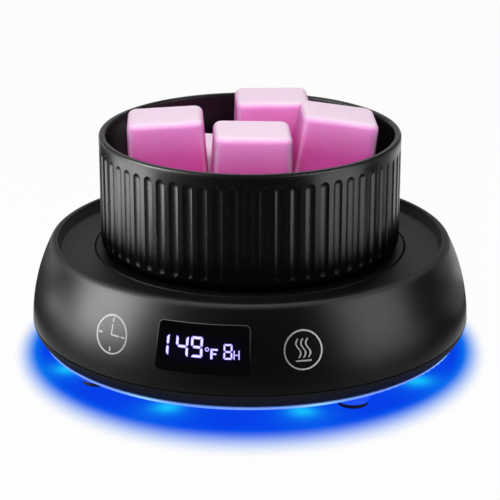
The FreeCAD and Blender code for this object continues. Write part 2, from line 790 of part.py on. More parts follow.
def heater_stack():
    """Film heater, felt and steel shield, pierced for the sensor and the heater's leads."""
    lead_hole = S["lead_radius"] + S["lead_clearance"]
    lead_x, lead_y = S["heater_lead_x"], S["heater_lead_y"]
    film = rod("heater_film", LEDGE_INNER - S["heater_margin"], S["heater_thickness"],
               NONE, NONE, HEATER_BOTTOM)
    heater = cut("heater_element", film, [sensor_way("heater_sensor_way", HEATER_BOTTOM, PLATE_BOTTOM)])
    felt = rod("felt", LEDGE_INNER - S["insulation_margin"], HEATER_BOTTOM - LEDGE_BOTTOM,
               NONE, NONE, LEDGE_BOTTOM)
    felt_ways = lead_pair("felt_lead_way", lead_hole, lead_x, lead_y, LEDGE_BOTTOM, HEATER_BOTTOM)
    felt_ways.append(sensor_way("felt_sensor_way", LEDGE_BOTTOM, HEATER_BOTTOM))
    insulation = cut("insulation_pad", felt, felt_ways)
    disc = new_body("shield_disc")
    spin(disc, "Revolution", "shield_plate", [
        (NONE, SHIELD_BOTTOM), (LEDGE_OUTER, SHIELD_BOTTOM),
        (LEDGE_OUTER, LEDGE_BOTTOM), (NONE, LEDGE_BOTTOM)])
    hole_radius = S["shield_screw_radius"] + S["screw_clearance"]
    hole = extrude(disc, "Pocket", "shield_hole", [(SHIELD_SCREW_CIRCLE, NONE, hole_radius)],
                   SHIELD_BOTTOM, S["shield_thickness"], reverse=True)
    around(disc, "shield_holes", [hole], CORNERS)
    turn(disc, CORNER_TURN)
    shield_ways = lead_pair("shield_lead_way", lead_hole, lead_x, lead_y, SHIELD_BOTTOM, LEDGE_BOTTOM)
    shield_ways.append(sensor_way("shield_sensor_way", SHIELD_BOTTOM, LEDGE_BOTTOM))
    shield = cut("heat_shield", disc, shield_ways)
    return [heater, insulation, shield]


def heat_shield_screws():
    body = new_body("heat_shield_screws")
    x = SHIELD_SCREW_CIRCLE
    low = SHIELD_BOTTOM - S["shield_screw_head_height"]
    high = SHIELD_BOTTOM + S["shield_screw_length"] - S["screw_clearance"]
    shank = x + S["shield_screw_radius"]
    head = x + S["shield_screw_head"]
    screw = spin(body, "Revolution", "shield_screw", [
        (x, low), (head, low), (head, SHIELD_BOTTOM),
        (shank, SHIELD_BOTTOM), (shank, high), (x, high)], axis_x=x)
    around(body, "shield_screw_set", [screw], CORNERS)
    return turn(body, CORNER_TURN)


def temperature_sensor():
    """Sheathed bead with a domed tip, and the collar that holds it under the shield."""
    sensor = new_body("temperature_sensor")
    radius = S["sensor_radius"]
    tip = PLATE_BOTTOM + S["sensor_sink"]
    foot = SHIELD_BOTTOM - S["retainer_height"]
    spin(sensor, "Revolution", "sensor_tube", [
        (NONE, foot), (radius, foot), (radius, tip - radius / 2), (radius / 2, tip), (NONE, tip)])
    retainer = new_body("sensor_retainer")
    way = radius + S["screw_clearance"]
    spin(retainer, "Revolution", "retainer_ring", [
        (way, foot), (S["retainer_radius"], foot),
        (S["retainer_radius"], SHIELD_BOTTOM), (way, SHIELD_BOTTOM)])
    return [sensor, retainer]


def thermal_fuse():
    """Axial cut-out that lies along X under the shield, and the strap that clamps it."""
    fuse_axis = SHIELD_BOTTOM - S["fuse_radius"] - S["screw_clearance"]
    half = S["fuse_length"] / 2
    end = half + S["fuse_wire_length"]
    body = new_body("thermal_fuse")
    sketch = new_sketch(body, "fuse_outline", "XZ_Plane")
    outline(sketch, [(-end, NONE), (end, NONE), (end, S["fuse_wire_radius"]), (half, S["fuse_wire_radius"]),
                     (half, S["fuse_radius"]), (-half, S["fuse_radius"]), (-half, S["fuse_wire_radius"]),
                     (-end, S["fuse_wire_radius"])])
    turned = body.newObject("PartDesign::Revolution", "fuse_turned")
    turned.Profile = sketch
    turned.ReferenceAxis = (sketch, ["H_Axis"])
    turned.Angle = 360
    sketch.Visibility = False
    place(body, NONE, S["fuse_back"], fuse_axis)
    clamp = new_body("fuse_clamp")
    inner = S["fuse_radius"] + S["screw_clearance"]
    outer = inner + S["clamp_thickness"]
    wing = outer + S["clamp_wing"]
    seat = inner
    under = seat - S["clamp_thickness"]
    extrude(clamp, "Pad", "clamp_strap", [[
        (-wing, seat), (-wing, under), (-outer, under), (-outer, -outer), (outer, -outer), (outer, under),
        (wing, under), (wing, seat), (inner, seat), (inner, -inner), (-inner, -inner), (-inner, seat)]],
        -S["clamp_width"] / 2, S["clamp_width"], role="YZ_Plane")
    place(clamp, NONE, S["fuse_back"], fuse_axis)
    return [body, clamp]


def jack_front():
    """How far back the jack reaches: its flange stops just inside the wall, which is nearest at the top."""
    return flank(JACK_AXIS + S["jack_flange_radius"], S["wall"]) - S["jack_gap"]


def power_jack():
    """Round socket on the board's neck behind a hole in the back of the housing, with its centre pin."""
    back = LEDGE_OUTER + S["jack_gap"]
    length = jack_front() - back
    shell = block("jack_block", S["jack_width"], length, S["jack_height"], NONE, back + length / 2, BOARD_TOP)
    flange = level_rod("jack_flange", S["jack_flange_radius"], S["jack_flange_thickness"], NONE,
                       jack_front() - S["jack_flange_thickness"], JACK_AXIS)
    bore_floor = jack_front() - S["jack_bore_depth"]
    bore = level_rod("jack_bore", S["jack_bore_radius"], S["jack_bore_depth"], NONE, bore_floor, JACK_AXIS)
    jack = cut("power_jack", fuse("jack_body", [shell, flange]), [bore])
    pin = level_rod("power_jack_pin", S["jack_pin_radius"], S["jack_bore_depth"] - S["jack_pin_sink"],
                    NONE, bore_floor, JACK_AXIS)
    return [jack, pin]


def led_lead_y():
    """The light ring's leads rise at the back, under the neck of the control board."""
    return LED_CIRCLE - S["lead_spacing"] / 2


def board_screw_ways(label):
    ways = []
    for number, (x, y) in enumerate(standoff_places()):
        ways.append(rod("%s_%d" % (label, number), S["board_screw_radius"] + S["screw_clearance"],
                        S["board_thickness"], x, y, BOARD_BOTTOM))
    return ways


def control_board():
    """Board with a neck under the jack, on four standoffs."""
    body = new_body("board_blank")
    half, neck = S["board_half_width"], S["board_neck"]
    neck_end = LED_CIRCLE + S["lead_spacing"] / 2
    front, back = S["board_front"], S["board_back"]
    extrude(body, "Pad", "board_plate", [[
        (-half, -front), (half, -front), (half, back), (neck, back), (neck, neck_end), (-neck, neck_end),
        (-neck, back), (-half, back)]], BOARD_BOTTOM, S["board_thickness"])
    return cut("control_board", body, board_screw_ways("board_way"))


def control_board_screws():
    screws = []
    for number, (x, y) in enumerate(standoff_places()):
        shank = rod("board_shank_%d" % number, S["board_screw_radius"],
                    S["standoff_height"] + S["board_thickness"], x, y, FLOOR_TOP)
        head = rod("board_head_%d" % number, S["board_screw_head"],
                   S["board_screw_head_height"], x, y, BOARD_TOP)
        screws.append(fuse("board_screw_%d" % number, [shank, head]))
    return group("control_board_screws", screws)


def board_parts():
    """The parts soldered on the control board."""
    chip_legs = block("chip_legs", S["chip_width"] + S["chip_leg_reach"] * 2,
                      S["chip_width"] + S["chip_leg_reach"] * 2, S["chip_leg_height"],
                      -S["board_half_width"] / 2, NONE, BOARD_TOP)
    chip_case = block("chip_case", S["chip_width"], S["chip_width"], S["chip_height"],
                      -S["board_half_width"] / 2, NONE, BOARD_TOP)
    chip = fuse("microcontroller", [chip_legs, chip_case])
    transistor_y = (S["heater_lead_y"] + S["connector_depth"] / 2 + S["transistor_gap"]
                    + S["transistor_tab_length"] / 2)
    transistor_case = block("transistor_case", S["transistor_width"], S["transistor_width"],
                            S["transistor_height"], S["heater_lead_x"], transistor_y, BOARD_TOP)
    transistor_tab = block("transistor_tab", S["transistor_tab_width"], S["transistor_tab_length"],
                           S["transistor_tab_thickness"], S["heater_lead_x"], transistor_y, BOARD_TOP)
    transistor = fuse("heater_transistor", [transistor_case, transistor_tab])
    cans = new_body("capacitors")
    radius, tall, ring = S["capacitor_radius"], S["capacitor_height"], S["capacitor_groove"]
    low = BOARD_TOP + S["capacitor_groove_rise"]
    left_can = -S["standoff_side"] / 2 - radius
    right_can = left_can + radius * 2 + S["capacitor_gap"]
    for name, x in (("left", left_can), ("right", right_can)):
        spin(cans, "Revolution", "can_" + name, [
            (x, BOARD_TOP), (x + radius, BOARD_TOP), (x + radius, low), (x + radius - ring, low + ring),
            (x + radius, low + ring * 2), (x + radius, BOARD_TOP + tall), (x, BOARD_TOP + tall)], axis_x=x)
    place(cans, NONE, S["standoff_back"] - radius * 2)
    buzzer_x = -S["standoff_side"] + S["buzzer_radius"]
    buzzer_y = -S["standoff_front"] / 2 - S["buzzer_radius"] / 2
    buzzer_can = rod("buzzer_can", S["buzzer_radius"], S["buzzer_height"], buzzer_x, buzzer_y, BOARD_TOP)
    buzzer_vent = rod("buzzer_vent_way", S["buzzer_vent"], S["buzzer_vent_depth"], buzzer_x, buzzer_y,
                      BOARD_TOP + S["buzzer_height"] - S["buzzer_vent_depth"])
    buzzer = cut("buzzer", buzzer_can, [buzzer_vent])
    sockets = []
    for name, x, y in (("heater", S["heater_lead_x"], S["heater_lead_y"]), ("sensor", NONE, NONE),
                       ("display", NONE, -ribbon_back())):
        sockets.append(block("socket_" + name, S["connector_width"], S["connector_depth"],
                             S["connector_height"], x, y, BOARD_TOP))
    return [chip, transistor, cans, buzzer, group("board_connectors", sockets)]


def ribbon_back():
    """How far in front of the middle the display's socket stands on the control board."""
    return S["board_front"] - S["connector_depth"]


def leads():
    """Insulated leads inside the base."""
    socket_top = BOARD_TOP + S["connector_height"]
    heater = lead_pair("heater_lead", S["lead_radius"], S["heater_lead_x"], S["heater_lead_y"],
                       socket_top, HEATER_BOTTOM)
    sensor_foot = SHIELD_BOTTOM - S["retainer_height"]
    sensor = lead_pair("sensor_lead", S["sensor_lead_radius"], NONE, NONE, socket_top, sensor_foot)
    led = lead_pair("led_lead", S["lead_radius"], NONE, led_lead_y(), FLOOR_BOTTOM, BOARD_BOTTOM)
    return [group("heater_leads", heater), group("sensor_leads", sensor), group("led_leads", led)]


def display_ribbon():
    """Flat cable that hangs from the display board to its socket."""
    body = new_body("display_ribbon")
    near = ribbon_back() + S["connector_depth"] / 2
    low = BOARD_TOP + S["ribbon_rise"]
    high = low + S["ribbon_thickness"]
    sag = S["ribbon_sag"]
    extrude(body, "Pad", "ribbon_strip", [[
        (near, low, Arc(sag + S["ribbon_thickness"], 1)), (DISPLAY_BOARD_BACK, low),
        (DISPLAY_BOARD_BACK, high, Arc(sag, -1)), (near, high)]],
        -S["ribbon_width"] / 2, S["ribbon_width"], role="YZ_Plane")
    return turn(body, as_size(180))


def inside_wall(label, gap):
    """The room inside the housing's flank, kept a gap away from its wall."""
    body = new_body(label)
    inset = S["wall"] + gap
    spin(body, "Revolution", label + "_room", [
        (NONE, PARTING), (flank(PARTING, inset), PARTING, Arc(S["flank_radius"] - inset, 1)),
        (flank(DECK_UNDER, inset), DECK_UNDER), (NONE, DECK_UNDER)])
    return body


def display_parts():
    """Display board in its guides, digit block behind the window and foam pads behind the touch keys."""
    bottom = FLOOR_TOP + S["display_board_slot"]
    top = DECK_UNDER - S["display_board_drop"]
    middle = -(DISPLAY_BOARD_BACK + S["board_thickness"] / 2)
    board = block("display_board", S["display_board_half_width"] * 2, S["board_thickness"], top - bottom,
                  NONE, middle, bottom)
    window_inner = flank(WINDOW_TOP, S["window_thickness"] + S["window_clearance"])
    front = side(window_inner, S["display_width"] / 2) - S["display_front_gap"]
    depth = front - DISPLAY_BOARD_FRONT
    low = WINDOW_BOTTOM + S["window_ledge"]
    module = block("display_module", S["display_width"], depth, WINDOW_TOP - S["window_ledge"] - low,
                   NONE, -(DISPLAY_BOARD_FRONT + depth / 2), low)
    pieces = [board, module]
    key_x = flank(KEY_HEIGHT, S["wall"]) * sine(S["key_angle"])
    reach = flank(KEY_HEIGHT) - DISPLAY_BOARD_FRONT
    for name, x in (("timer", -key_x), ("heat", key_x)):
        column = level_rod("touch_column_" + name, S["touch_radius"], reach,
                           x, -(DISPLAY_BOARD_FRONT + reach), KEY_HEIGHT)
        pieces.append(common("touch_pad_" + name, column, inside_wall("touch_room_" + name, S["touch_gap"])))
    return pieces


def display_window():
    return window_solid("display_window", NONE, S["window_thickness"], NONE)


def light_ring():
    """Ring board under the floor with its lamps facing down."""
    board = new_body("led_ring_board")
    inner = LED_BOARD_OUTER - S["led_board_width"]
    spin(board, "Revolution", "ring_board", [
        (inner, LED_TOP), (LED_BOARD_OUTER, LED_TOP), (LED_BOARD_OUTER, FLOOR_BOTTOM), (inner, FLOOR_BOTTOM)])
    lamps = new_body("under_glow_leds")
    half_width = S["led_width"] / 2
    half_length = S["led_length"] / 2
    lamp = extrude(lamps, "Pad", "lamp", [rectangle(LED_CIRCLE - half_width, LED_CIRCLE + half_width,
                                                    -half_length, half_length)], LED_BOTTOM, S["led_height"])
    around(lamps, "lamp_set", [lamp], S["led_count"])
    turn(lamps, S["led_turn"])
    return [board, lamps]


def wax_dish():
    """Straight-walled cup with round-ended flutes in its outer wall."""
    body = new_body("wax_dish")
    spin(body, "Revolution", "cup", [
        (NONE, DISH_BOTTOM), (DISH_OUTER, DISH_BOTTOM), (DISH_OUTER, RIM), (DISH_INNER, RIM),
        (DISH_INNER, DISH_FLOOR_TOP), (NONE, DISH_FLOOR_TOP)])
    round_edges(body, "cup_foot", is_ring_at(DISH_OUTER, DISH_BOTTOM), S["dish_foot_round"])
    round_edges(body, "cup_rim", is_level(RIM), S["dish_rim_round"])
    half, depth = S["flute_width"] / 2, S["flute_depth"]
    radius = (half * half + depth * depth) / (depth * 2)
    axis = DISH_OUTER - depth + radius
    low = DISH_BOTTOM + S["flute_start"] + half - radius
    high = RIM - S["flute_band"] - half + radius
    ball = Arc(radius, 1)
    flute = spin(body, "Groove", "flute", [
        (axis, low, ball), (axis + radius, low + radius), (axis + radius, high - radius, ball), (axis, high)],
        axis_x=axis)
    around(body, "flutes", [flute], S["flute_count"])
    return body


def wax_solid(label):
    """One drafted melt with round upright corners and a soft top edge, standing on its own origin."""
    body = new_body(label)
    half, deep = WAX_HALF, WAX_HALF_DEPTH
    draft = extrude(body, "Pad", label + "_draft", [rectangle(-half, half, -deep, deep)],
                    NONE, S["wax_height"])
    bind(draft, "TaperAngle", -S["wax_draft"])

    def is_upright(edge):
        return edge.BoundBox.ZLength > S["wax_height"].value / 2

    round_edges(body, label + "_corners", is_upright, S["wax_corner"])
    round_edges(body, label + "_edge", is_level(S["wax_height"]), S["wax_edge"])
    return body


def wax_place(body, x, y, z, lean):
    """Set a melt down at a place in the turned wax frame, leaning to its own right."""
    about, over = cosine(S["wax_turn"]), sine(S["wax_turn"])
    spun = FreeCAD.Rotation(FreeCAD.Vector(0, 0, 1), S["wax_turn"].value)
    tipped = FreeCAD.Rotation(FreeCAD.Vector(0, 1, 0), as_size(lean).value)
    body.Placement = FreeCAD.Placement(FreeCAD.Vector(), spun.multiply(tipped))
    return place(body, x * about - y * over, x * over + y * about, z)


def wax_melts():
    """Four melts on top, each its own piece, over a lower layer in one: four upright and one on its side."""
    right_x = S["wax_front_x"] + WAX_PITCH
    left_x = S["wax_front_x"] - WAX_PITCH
    back_y = S["wax_right_y"] + S["wax_bottom_depth"] + S["wax_gap"] + S["wax_back_gap"]
    floor = DISH_FLOOR_TOP
    seat = floor + S["wax_height"] + S["wax_seat"]
    stacks = (("left", left_x, S["wax_left_y"], -S["wax_left_lean"], S["wax_left_lean"]),
              ("back", S["wax_back_x"], back_y, NONE, NONE),
              ("front", S["wax_front_x"], S["wax_front_y"], S["wax_front_lean"], S["wax_front_lean"]),
              ("right", right_x, S["wax_right_y"], S["wax_right_lean"], S["wax_right_lean"]))
    upper = []
    lower = []
    for name, x, y, lean, tilt in stacks:
        lower.append(wax_place(wax_solid("lower_melt_" + name), x, y, floor, NONE))
        melt = wax_solid("wax_melt_" + name)
        upper.append(wax_place(melt, x, y, seat + WAX_HALF * sine(tilt), lean))
    side_x = S["wax_back_x"] - WAX_HALF - S["wax_height"] - S["wax_side_gap"]
    side_y = side(DISH_INNER, side_x) - WAX_HALF_DEPTH - S["wax_side_room"]
    rise = WAX_HALF * cosine(S["wax_draft"])
    on_its_side = S["wax_draft"] + 90
    lower.append(wax_place(wax_solid("side_melt"), side_x, side_y, floor + rise, on_its_side))
    return upper + [group("lower_wax_melts", lower)]


def whole_warmer():
    pieces = [upper_housing(), lower_housing(), light_diffuser(), case_screws()]
    pieces += [heating_plate(), plate_gasket()]
    pieces += foot_pads()
    pieces += heater_stack()
    pieces += [heat_shield_screws()]
    pieces += temperature_sensor()
    pieces += thermal_fuse()
    pieces += power_jack()
    pieces += [control_board(), control_board_screws()]
    pieces += board_parts()
    pieces += leads()
    pieces += [display_ribbon(), display_window()]
    pieces += display_parts()
    pieces += light_ring()
    pieces += [wax_dish()]
    pieces += wax_melts()
    return pieces


def check(pieces):
    """Stop before anything is written if an object failed or a shape is missing or broken."""
    for item in doc.Objects:
        if "Invalid" in item.State or "Error" in item.State:
            raise RuntimeError("%s failed: %s" % (item.Label, item.State))
    for piece in pieces:
        if piece.Shape.isNull() or not piece.Shape.isValid() or not piece.Shape.Solids:
            raise RuntimeError("%s has no sound shape" % piece.Label)


PIECES = whole_warmer()
doc.recompute()
check(PIECES)
os.makedirs("parts", exist_ok=True)
for piece in PIECES:
    piece.Shape.exportStep("parts/%s.step" % piece.Label)
    print("%-24s %d solids %10.1f mm3" % (piece.Label, len(piece.Shape.Solids), piece.Shape.Volume))
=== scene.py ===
"""Finishes, lit display, touch signs, under-light and studio for the electric wax-melt warmer.

Lengths are in metres, in the frame of the CAD: the floor is at zero, the display faces -Y, and Z is up.
"""

import json
import math

import bmesh
import bpy
from mathutils import Matrix, Vector


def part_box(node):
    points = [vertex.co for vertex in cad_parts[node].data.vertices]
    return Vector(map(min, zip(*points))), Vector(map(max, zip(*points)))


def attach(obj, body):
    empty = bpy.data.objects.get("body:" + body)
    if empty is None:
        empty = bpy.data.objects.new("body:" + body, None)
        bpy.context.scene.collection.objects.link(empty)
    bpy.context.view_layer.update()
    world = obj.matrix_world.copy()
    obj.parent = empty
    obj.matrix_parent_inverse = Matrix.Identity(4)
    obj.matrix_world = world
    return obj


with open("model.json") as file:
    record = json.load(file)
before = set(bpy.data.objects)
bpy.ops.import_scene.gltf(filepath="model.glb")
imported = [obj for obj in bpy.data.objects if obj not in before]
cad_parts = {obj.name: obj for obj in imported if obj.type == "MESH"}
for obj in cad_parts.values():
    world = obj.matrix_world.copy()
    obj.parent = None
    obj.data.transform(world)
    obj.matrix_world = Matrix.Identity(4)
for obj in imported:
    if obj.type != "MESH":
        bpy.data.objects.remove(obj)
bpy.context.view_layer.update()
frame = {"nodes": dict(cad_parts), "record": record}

bl_info = {
    "name": "Wax Melt Warmer",
    "version": (1, 0, 0),
    "blender": (4, 5, 0),
    "location": "View3D > Sidebar > Warmer",
    "description": "Finishes a wax-melt warmer, lights its display and underside, and sets it in a studio",
    "category": "Object",
}

NODES = frame["nodes"]

MM = 0.001
FULL_TURN = 2 * math.pi
QUARTER_TURN = math.pi / 2

# The bowed flank is an arc turned round the axis, as in the CAD, with the touch keys at KEY_HEIGHT.
FLANK_ARC = 54.4 * MM
FLANK_ARC_CENTRE = 12.54 * MM
FLANK_WIDEST = 10.5 * MM
KEY_HEIGHT = 24.1 * MM

# Spans of radius on the drum: the end of its deck, then the lip's inner slope and its crest, where a
# highlight is painted.
DECK_END = (59.8 * MM, 61.6 * MM)
SLOPE_START = (57.2 * MM, 57.7 * MM)
SLOPE_END = (58.0 * MM, 58.8 * MM)
CREST_START = (59.7 * MM, 60.2 * MM)
CREST_END = (60.3 * MM, 61.2 * MM)

# Spans of height on the dish: where the matt foot ends, a painted shade with its reflections taken off, and
# where the rim turns dull.
FOOT_SHADE_END = (37.5 * MM, 47.5 * MM)
RIM_START = (66.5 * MM, 69.0 * MM)

# The black print round the smoked window: half its arc, its ends in height, its corners and its width.
PRINT_HALF_ARC = 13.55 * MM
PRINT_BOTTOM = 17.5 * MM
PRINT_TOP = 31.3 * MM
PRINT_CORNER = 1.5 * MM
PRINT_WIDTH = 0.75 * MM
# How much wider it is under the window, and how deep any print sits in the surface.
PRINT_CHIN = 1.35 * MM
PRINT_SUNK = 0.04 * MM
# The painted highlight line in the print: how far in it lies, its width, and the angles over which it
# weakens.
LINE_INSET = 0.16 * MM
LINE_WIDTH = 0.07 * MM
HIGHLIGHT_FADE = (-0.21, 0.12)
HIGHLIGHT_LINE_COLOUR = (0.17, 0.165, 0.16)

# The window, and how far beside and above the digits its faint glow ends.
WINDOW_BLACK = (0.002, 0.002, 0.0025)
WINDOW_GLOW = (0.0006, 0.0003, 0.0045)
WINDOW_GLOW_ASIDE = (9.0 * MM, 13.0 * MM)
WINDOW_GLOW_ABOVE = (2.0 * MM, 5.0 * MM)

# The large digits: sign, left end, width, and how far the foot is lifted, in millimetres.
LARGE_DIGITS = (
    ("1", -13.35, 3.7, 0.0),
    ("4", -7.75, 3.8, 0.05),
    ("9", -3.4, 3.6, 0.35),
)
# The bars of the two letters: length, width, middle above the digits' foot, and whether it stands.
LETTER_BARS = (
    (3.05, 0.80, (2.66, 1.70), True),
    (1.75, 0.68, (3.62, 2.88), False),
    (1.35, 0.62, (3.44, 1.72), False),
    (2.65, 0.46, (8.95, 1.65), True),
    (2.65, 0.46, (10.30, 1.65), True),
    (1.10, 0.42, (9.62, 1.62), False),
)
SEGMENTS = {"1": "bc", "4": "bcfg", "8": "abcdefg", "9": "abcdfg"}
SEGMENT_GAP = 0.04 * MM
# The small digit beside them, and the degree ring.
SMALL_LEFT = 5.9 * MM
SMALL_LIFT = 0.3 * MM
SMALL_WIDTH = 2.65 * MM
SMALL_HEIGHT = 4.35 * MM
SMALL_STROKE = 0.66 * MM
DEGREE_RADIUS = 0.66 * MM
DEGREE_LINE = 0.42 * MM
DEGREE_ACROSS = 1.35 * MM
DEGREE_UP = 2.85 * MM
DEGREE_STEPS = 28

# The clock's ticks and hands, and the heat sign's waves and bar. THIN_LINE is a share of a full line.
RING_STEPS = 96
TICK = 1.35 * MM
TICK_INSET = 0.35 * MM
HAND = 2.9 * MM
WAVE = 5.2 * MM
WAVE_SWING = 0.62 * MM
WAVE_PITCH = 1.4 * MM
WAVE_RAISED = 0.55 * MM
HEAT_BAR = 4.5 * MM
HEAT_BAR_LOWERED = 2.9 * MM
THIN_LINE = 0.9
# The arc over which the signs' ink is painted lighter away from the display, a painted highlight.
INK_HIGHLIGHT_SPAN = (21.0 * MM, 35.5 * MM)

# How far a bar's end is cut back above and below, as shares of the bar's width.
POINTED = (0.5, 0.5)
LONG_ABOVE = (0.3, 1.0)
LONG_BELOW = (1.0, 0.3)
BLUNT = (0.1, 0.1)

# The ring of lamps, as its lit spots lie: turned a little from the lamps in the CAD.
LAMP_COUNT = 8
LAMP_CIRCLE = 60.1 * MM
LAMP_TURN = math.radians(29.0)
LAMP_SPREAD = 4.4 * MM

# The diffuser's pale edge, and how far under the band its painted shadow reaches.
STRIP_RADIUS = (61.0 * MM, 63.6 * MM)
STRIP_HEIGHT = (5.4 * MM, 6.4 * MM)
STRIP_SHADOW = (0.66 * MM, 0.34 * MM)

# A wax melt stands on its own origin and narrows upwards.
MELT_HALF_WIDTH = 11.9 * MM
MELT_HALF_DEPTH = 10.85 * MM
MELT_HEIGHT = 19.0 * MM
MELT_DRAFT = math.tan(math.radians(2.0))
MELT_TURN = math.radians(14.0)
# Depths in a melt over which the painted light on edges and top ends, and the painted shade deepens down
# the sides.
EDGE_PAINTED_LIGHT = (0.2 * MM, 2.0 * MM)
TOP_PAINTED_LIGHT = (-0.2 * MM, 1.9 * MM)
SIDE_PAINTED_SHADE = (0.0, 13.0 * MM)
# Each melt: the middle of its foot in the turned wax frame, in millimetres, and its lean in degrees.
MELTS = {
    "wax_melt_left": ((-24.5, -3.95, 56.28), -2.8),
    "wax_melt_back": ((7.6, 19.85, 55.7), 0.0),
    "wax_melt_front": ((-0.5, -19.4, 55.99), 1.4),
    "wax_melt_right": ((23.5, -6.55, 57.46), 8.5),
}

# Soft boxes: degrees from the camera towards the right, degrees up, distance and size.
SOFT_BOXES = {
    "left": (-77.0, 22.0, 0.48, (0.30, 0.36)),
    "right": (65.0, 22.0, 0.48, (0.30, 0.36)),
    "back": (180.0, 46.0, 0.70, (0.60, 0.36)),
    "top": (-10.0, 72.0, 0.70, (0.44, 0.44)),
    "front": (-8.0, 40.0, 0.90, (0.90, 0.70)),
}
# Boxes that show only in gloss, and those that never do.
GLOSS_ONLY = ("left", "right")
MATT_ONLY = ("top", "front")
LIGHT_AIM = Vector((0.0, 0.0, 0.045))

# Black cloths: the degrees where each starts and ends, and its outline outwards and upwards.
BLACK_CLOTHS = {
    "front_cloth": (-125.0, 125.0, ((0.085, 0.0), (2.0, 0.0), (2.0, 0.7))),
    "right_cloth": (125.0, 157.0, ((0.30, 0.0), (2.0, 0.0))),
    "right_curtain": (125.0, 157.0, ((2.0, 0.22), (2.0, 0.7))),
    "left_cloth": (-150.0, -125.0, ((0.085, 0.0), (0.32, 0.0))),
    "left_curtain": (-150.0, -125.0, ((2.0, 0.22), (2.0, 0.7))),
}
CLOTH_BLACK = (0.004, 0.004, 0.004)
CLOTH_LIFT = 0.5 * MM
# Lit cards on the floor: the degrees where each starts and ends, and its nearest edge.
WHITE_CARDS = {
    "left_card": (-114.0, -72.0, 0.175),
    "right_card": (46.0, 85.0, 0.165),
    "edge_card": (103.0, 124.0, 0.10),
}
CARD_END = 0.40
CARD_LIFT = 1.0 * MM
SHEET_STEPS = 48

# The floor's radius, and the outline of the low wall round it, outwards and upwards.
FLOOR_RADIUS = 2.4
FLOOR_WALL = ((2.6, 0.02), (2.76, 0.08), (2.88, 0.18), (2.96, 0.34), (3.0, 0.6))
FLOOR_DROP = 0.05 * MM
# At the sides of the base, the glow on the floor starts to fade later and ends earlier.
GLOW_LATER = 2.4 * MM
GLOW_EARLIER = 9.2 * MM
# How far before that start and end the glow changes colour.
FADE_BEFORE = (3.0 * MM, 4.0 * MM)
# Lamp spots on the floor: their circle, how much it widens at the sides, the spread of core and haze, how
# far out the haze lies, and the pull to the front.
SPOT_CIRCLE = 52.5 * MM
SPOT_WIDER = 7.0 * MM
SPOT_CORE = 2.8 * MM
SPOT_HAZE = 6.0 * MM
HAZE_OUTWARDS = 2.0 * MM
SPOT_DRAWN = 0.06

WHITE = (1.0, 1.0, 1.0)
BLACK = (0.0, 0.0, 0.0)


def rgba(colour):
    """A colour as a node takes it."""
    return (colour[0], colour[1], colour[2], 1.0)


def shade(colour, amount):
    """A colour made darker or lighter by a plain factor."""
    return tuple(min(1.0, part * amount) for part in colour)


class Value:
    """A number that changes over a surface. Arithmetic on it adds Math nodes to its finish."""

    def __init__(self, finish, socket):
        self.finish = finish
        self.socket = socket

    def __add__(self, other):
        return self.finish.math("ADD", self, other)

    def __radd__(self, other):
        return self.finish.math("ADD", other, self)

    def __sub__(self, other):
        return self.finish.math("SUBTRACT", self, other)

    def __rsub__(self, other):
        return self.finish.math("SUBTRACT", other, self)

    def __mul__(self, other):
        return self.finish.math("MULTIPLY", self, other)

    def __rmul__(self, other):
        return self.finish.math("MULTIPLY", other, self)

    def __truediv__(self, other):
        return self.finish.math("DIVIDE", self, other)

    def __rtruediv__(self, other):
        return self.finish.math("DIVIDE", other, self)

    def __abs__(self):
        return self.finish.math("ABSOLUTE", self)

    def low(self, other):
        return self.finish.math("MINIMUM", self, other)

    def high(self, other):
        return self.finish.math("MAXIMUM", self, other)

    def step(self, start, end):
        """Zero before start, one after end, and smooth between them."""
        inputs = {"Value": self, "From Min": start, "From Max": end}
        made = self.finish.node("ShaderNodeMapRange", inputs, interpolation_type="SMOOTHSTEP")
        return Value(self.finish, made.outputs["Result"])

    def bell(self, width):
        """One where the number is zero, falling off smoothly over the width."""
        scaled = self / width
        return self.finish.math("EXPONENT", scaled * scaled * -0.5)


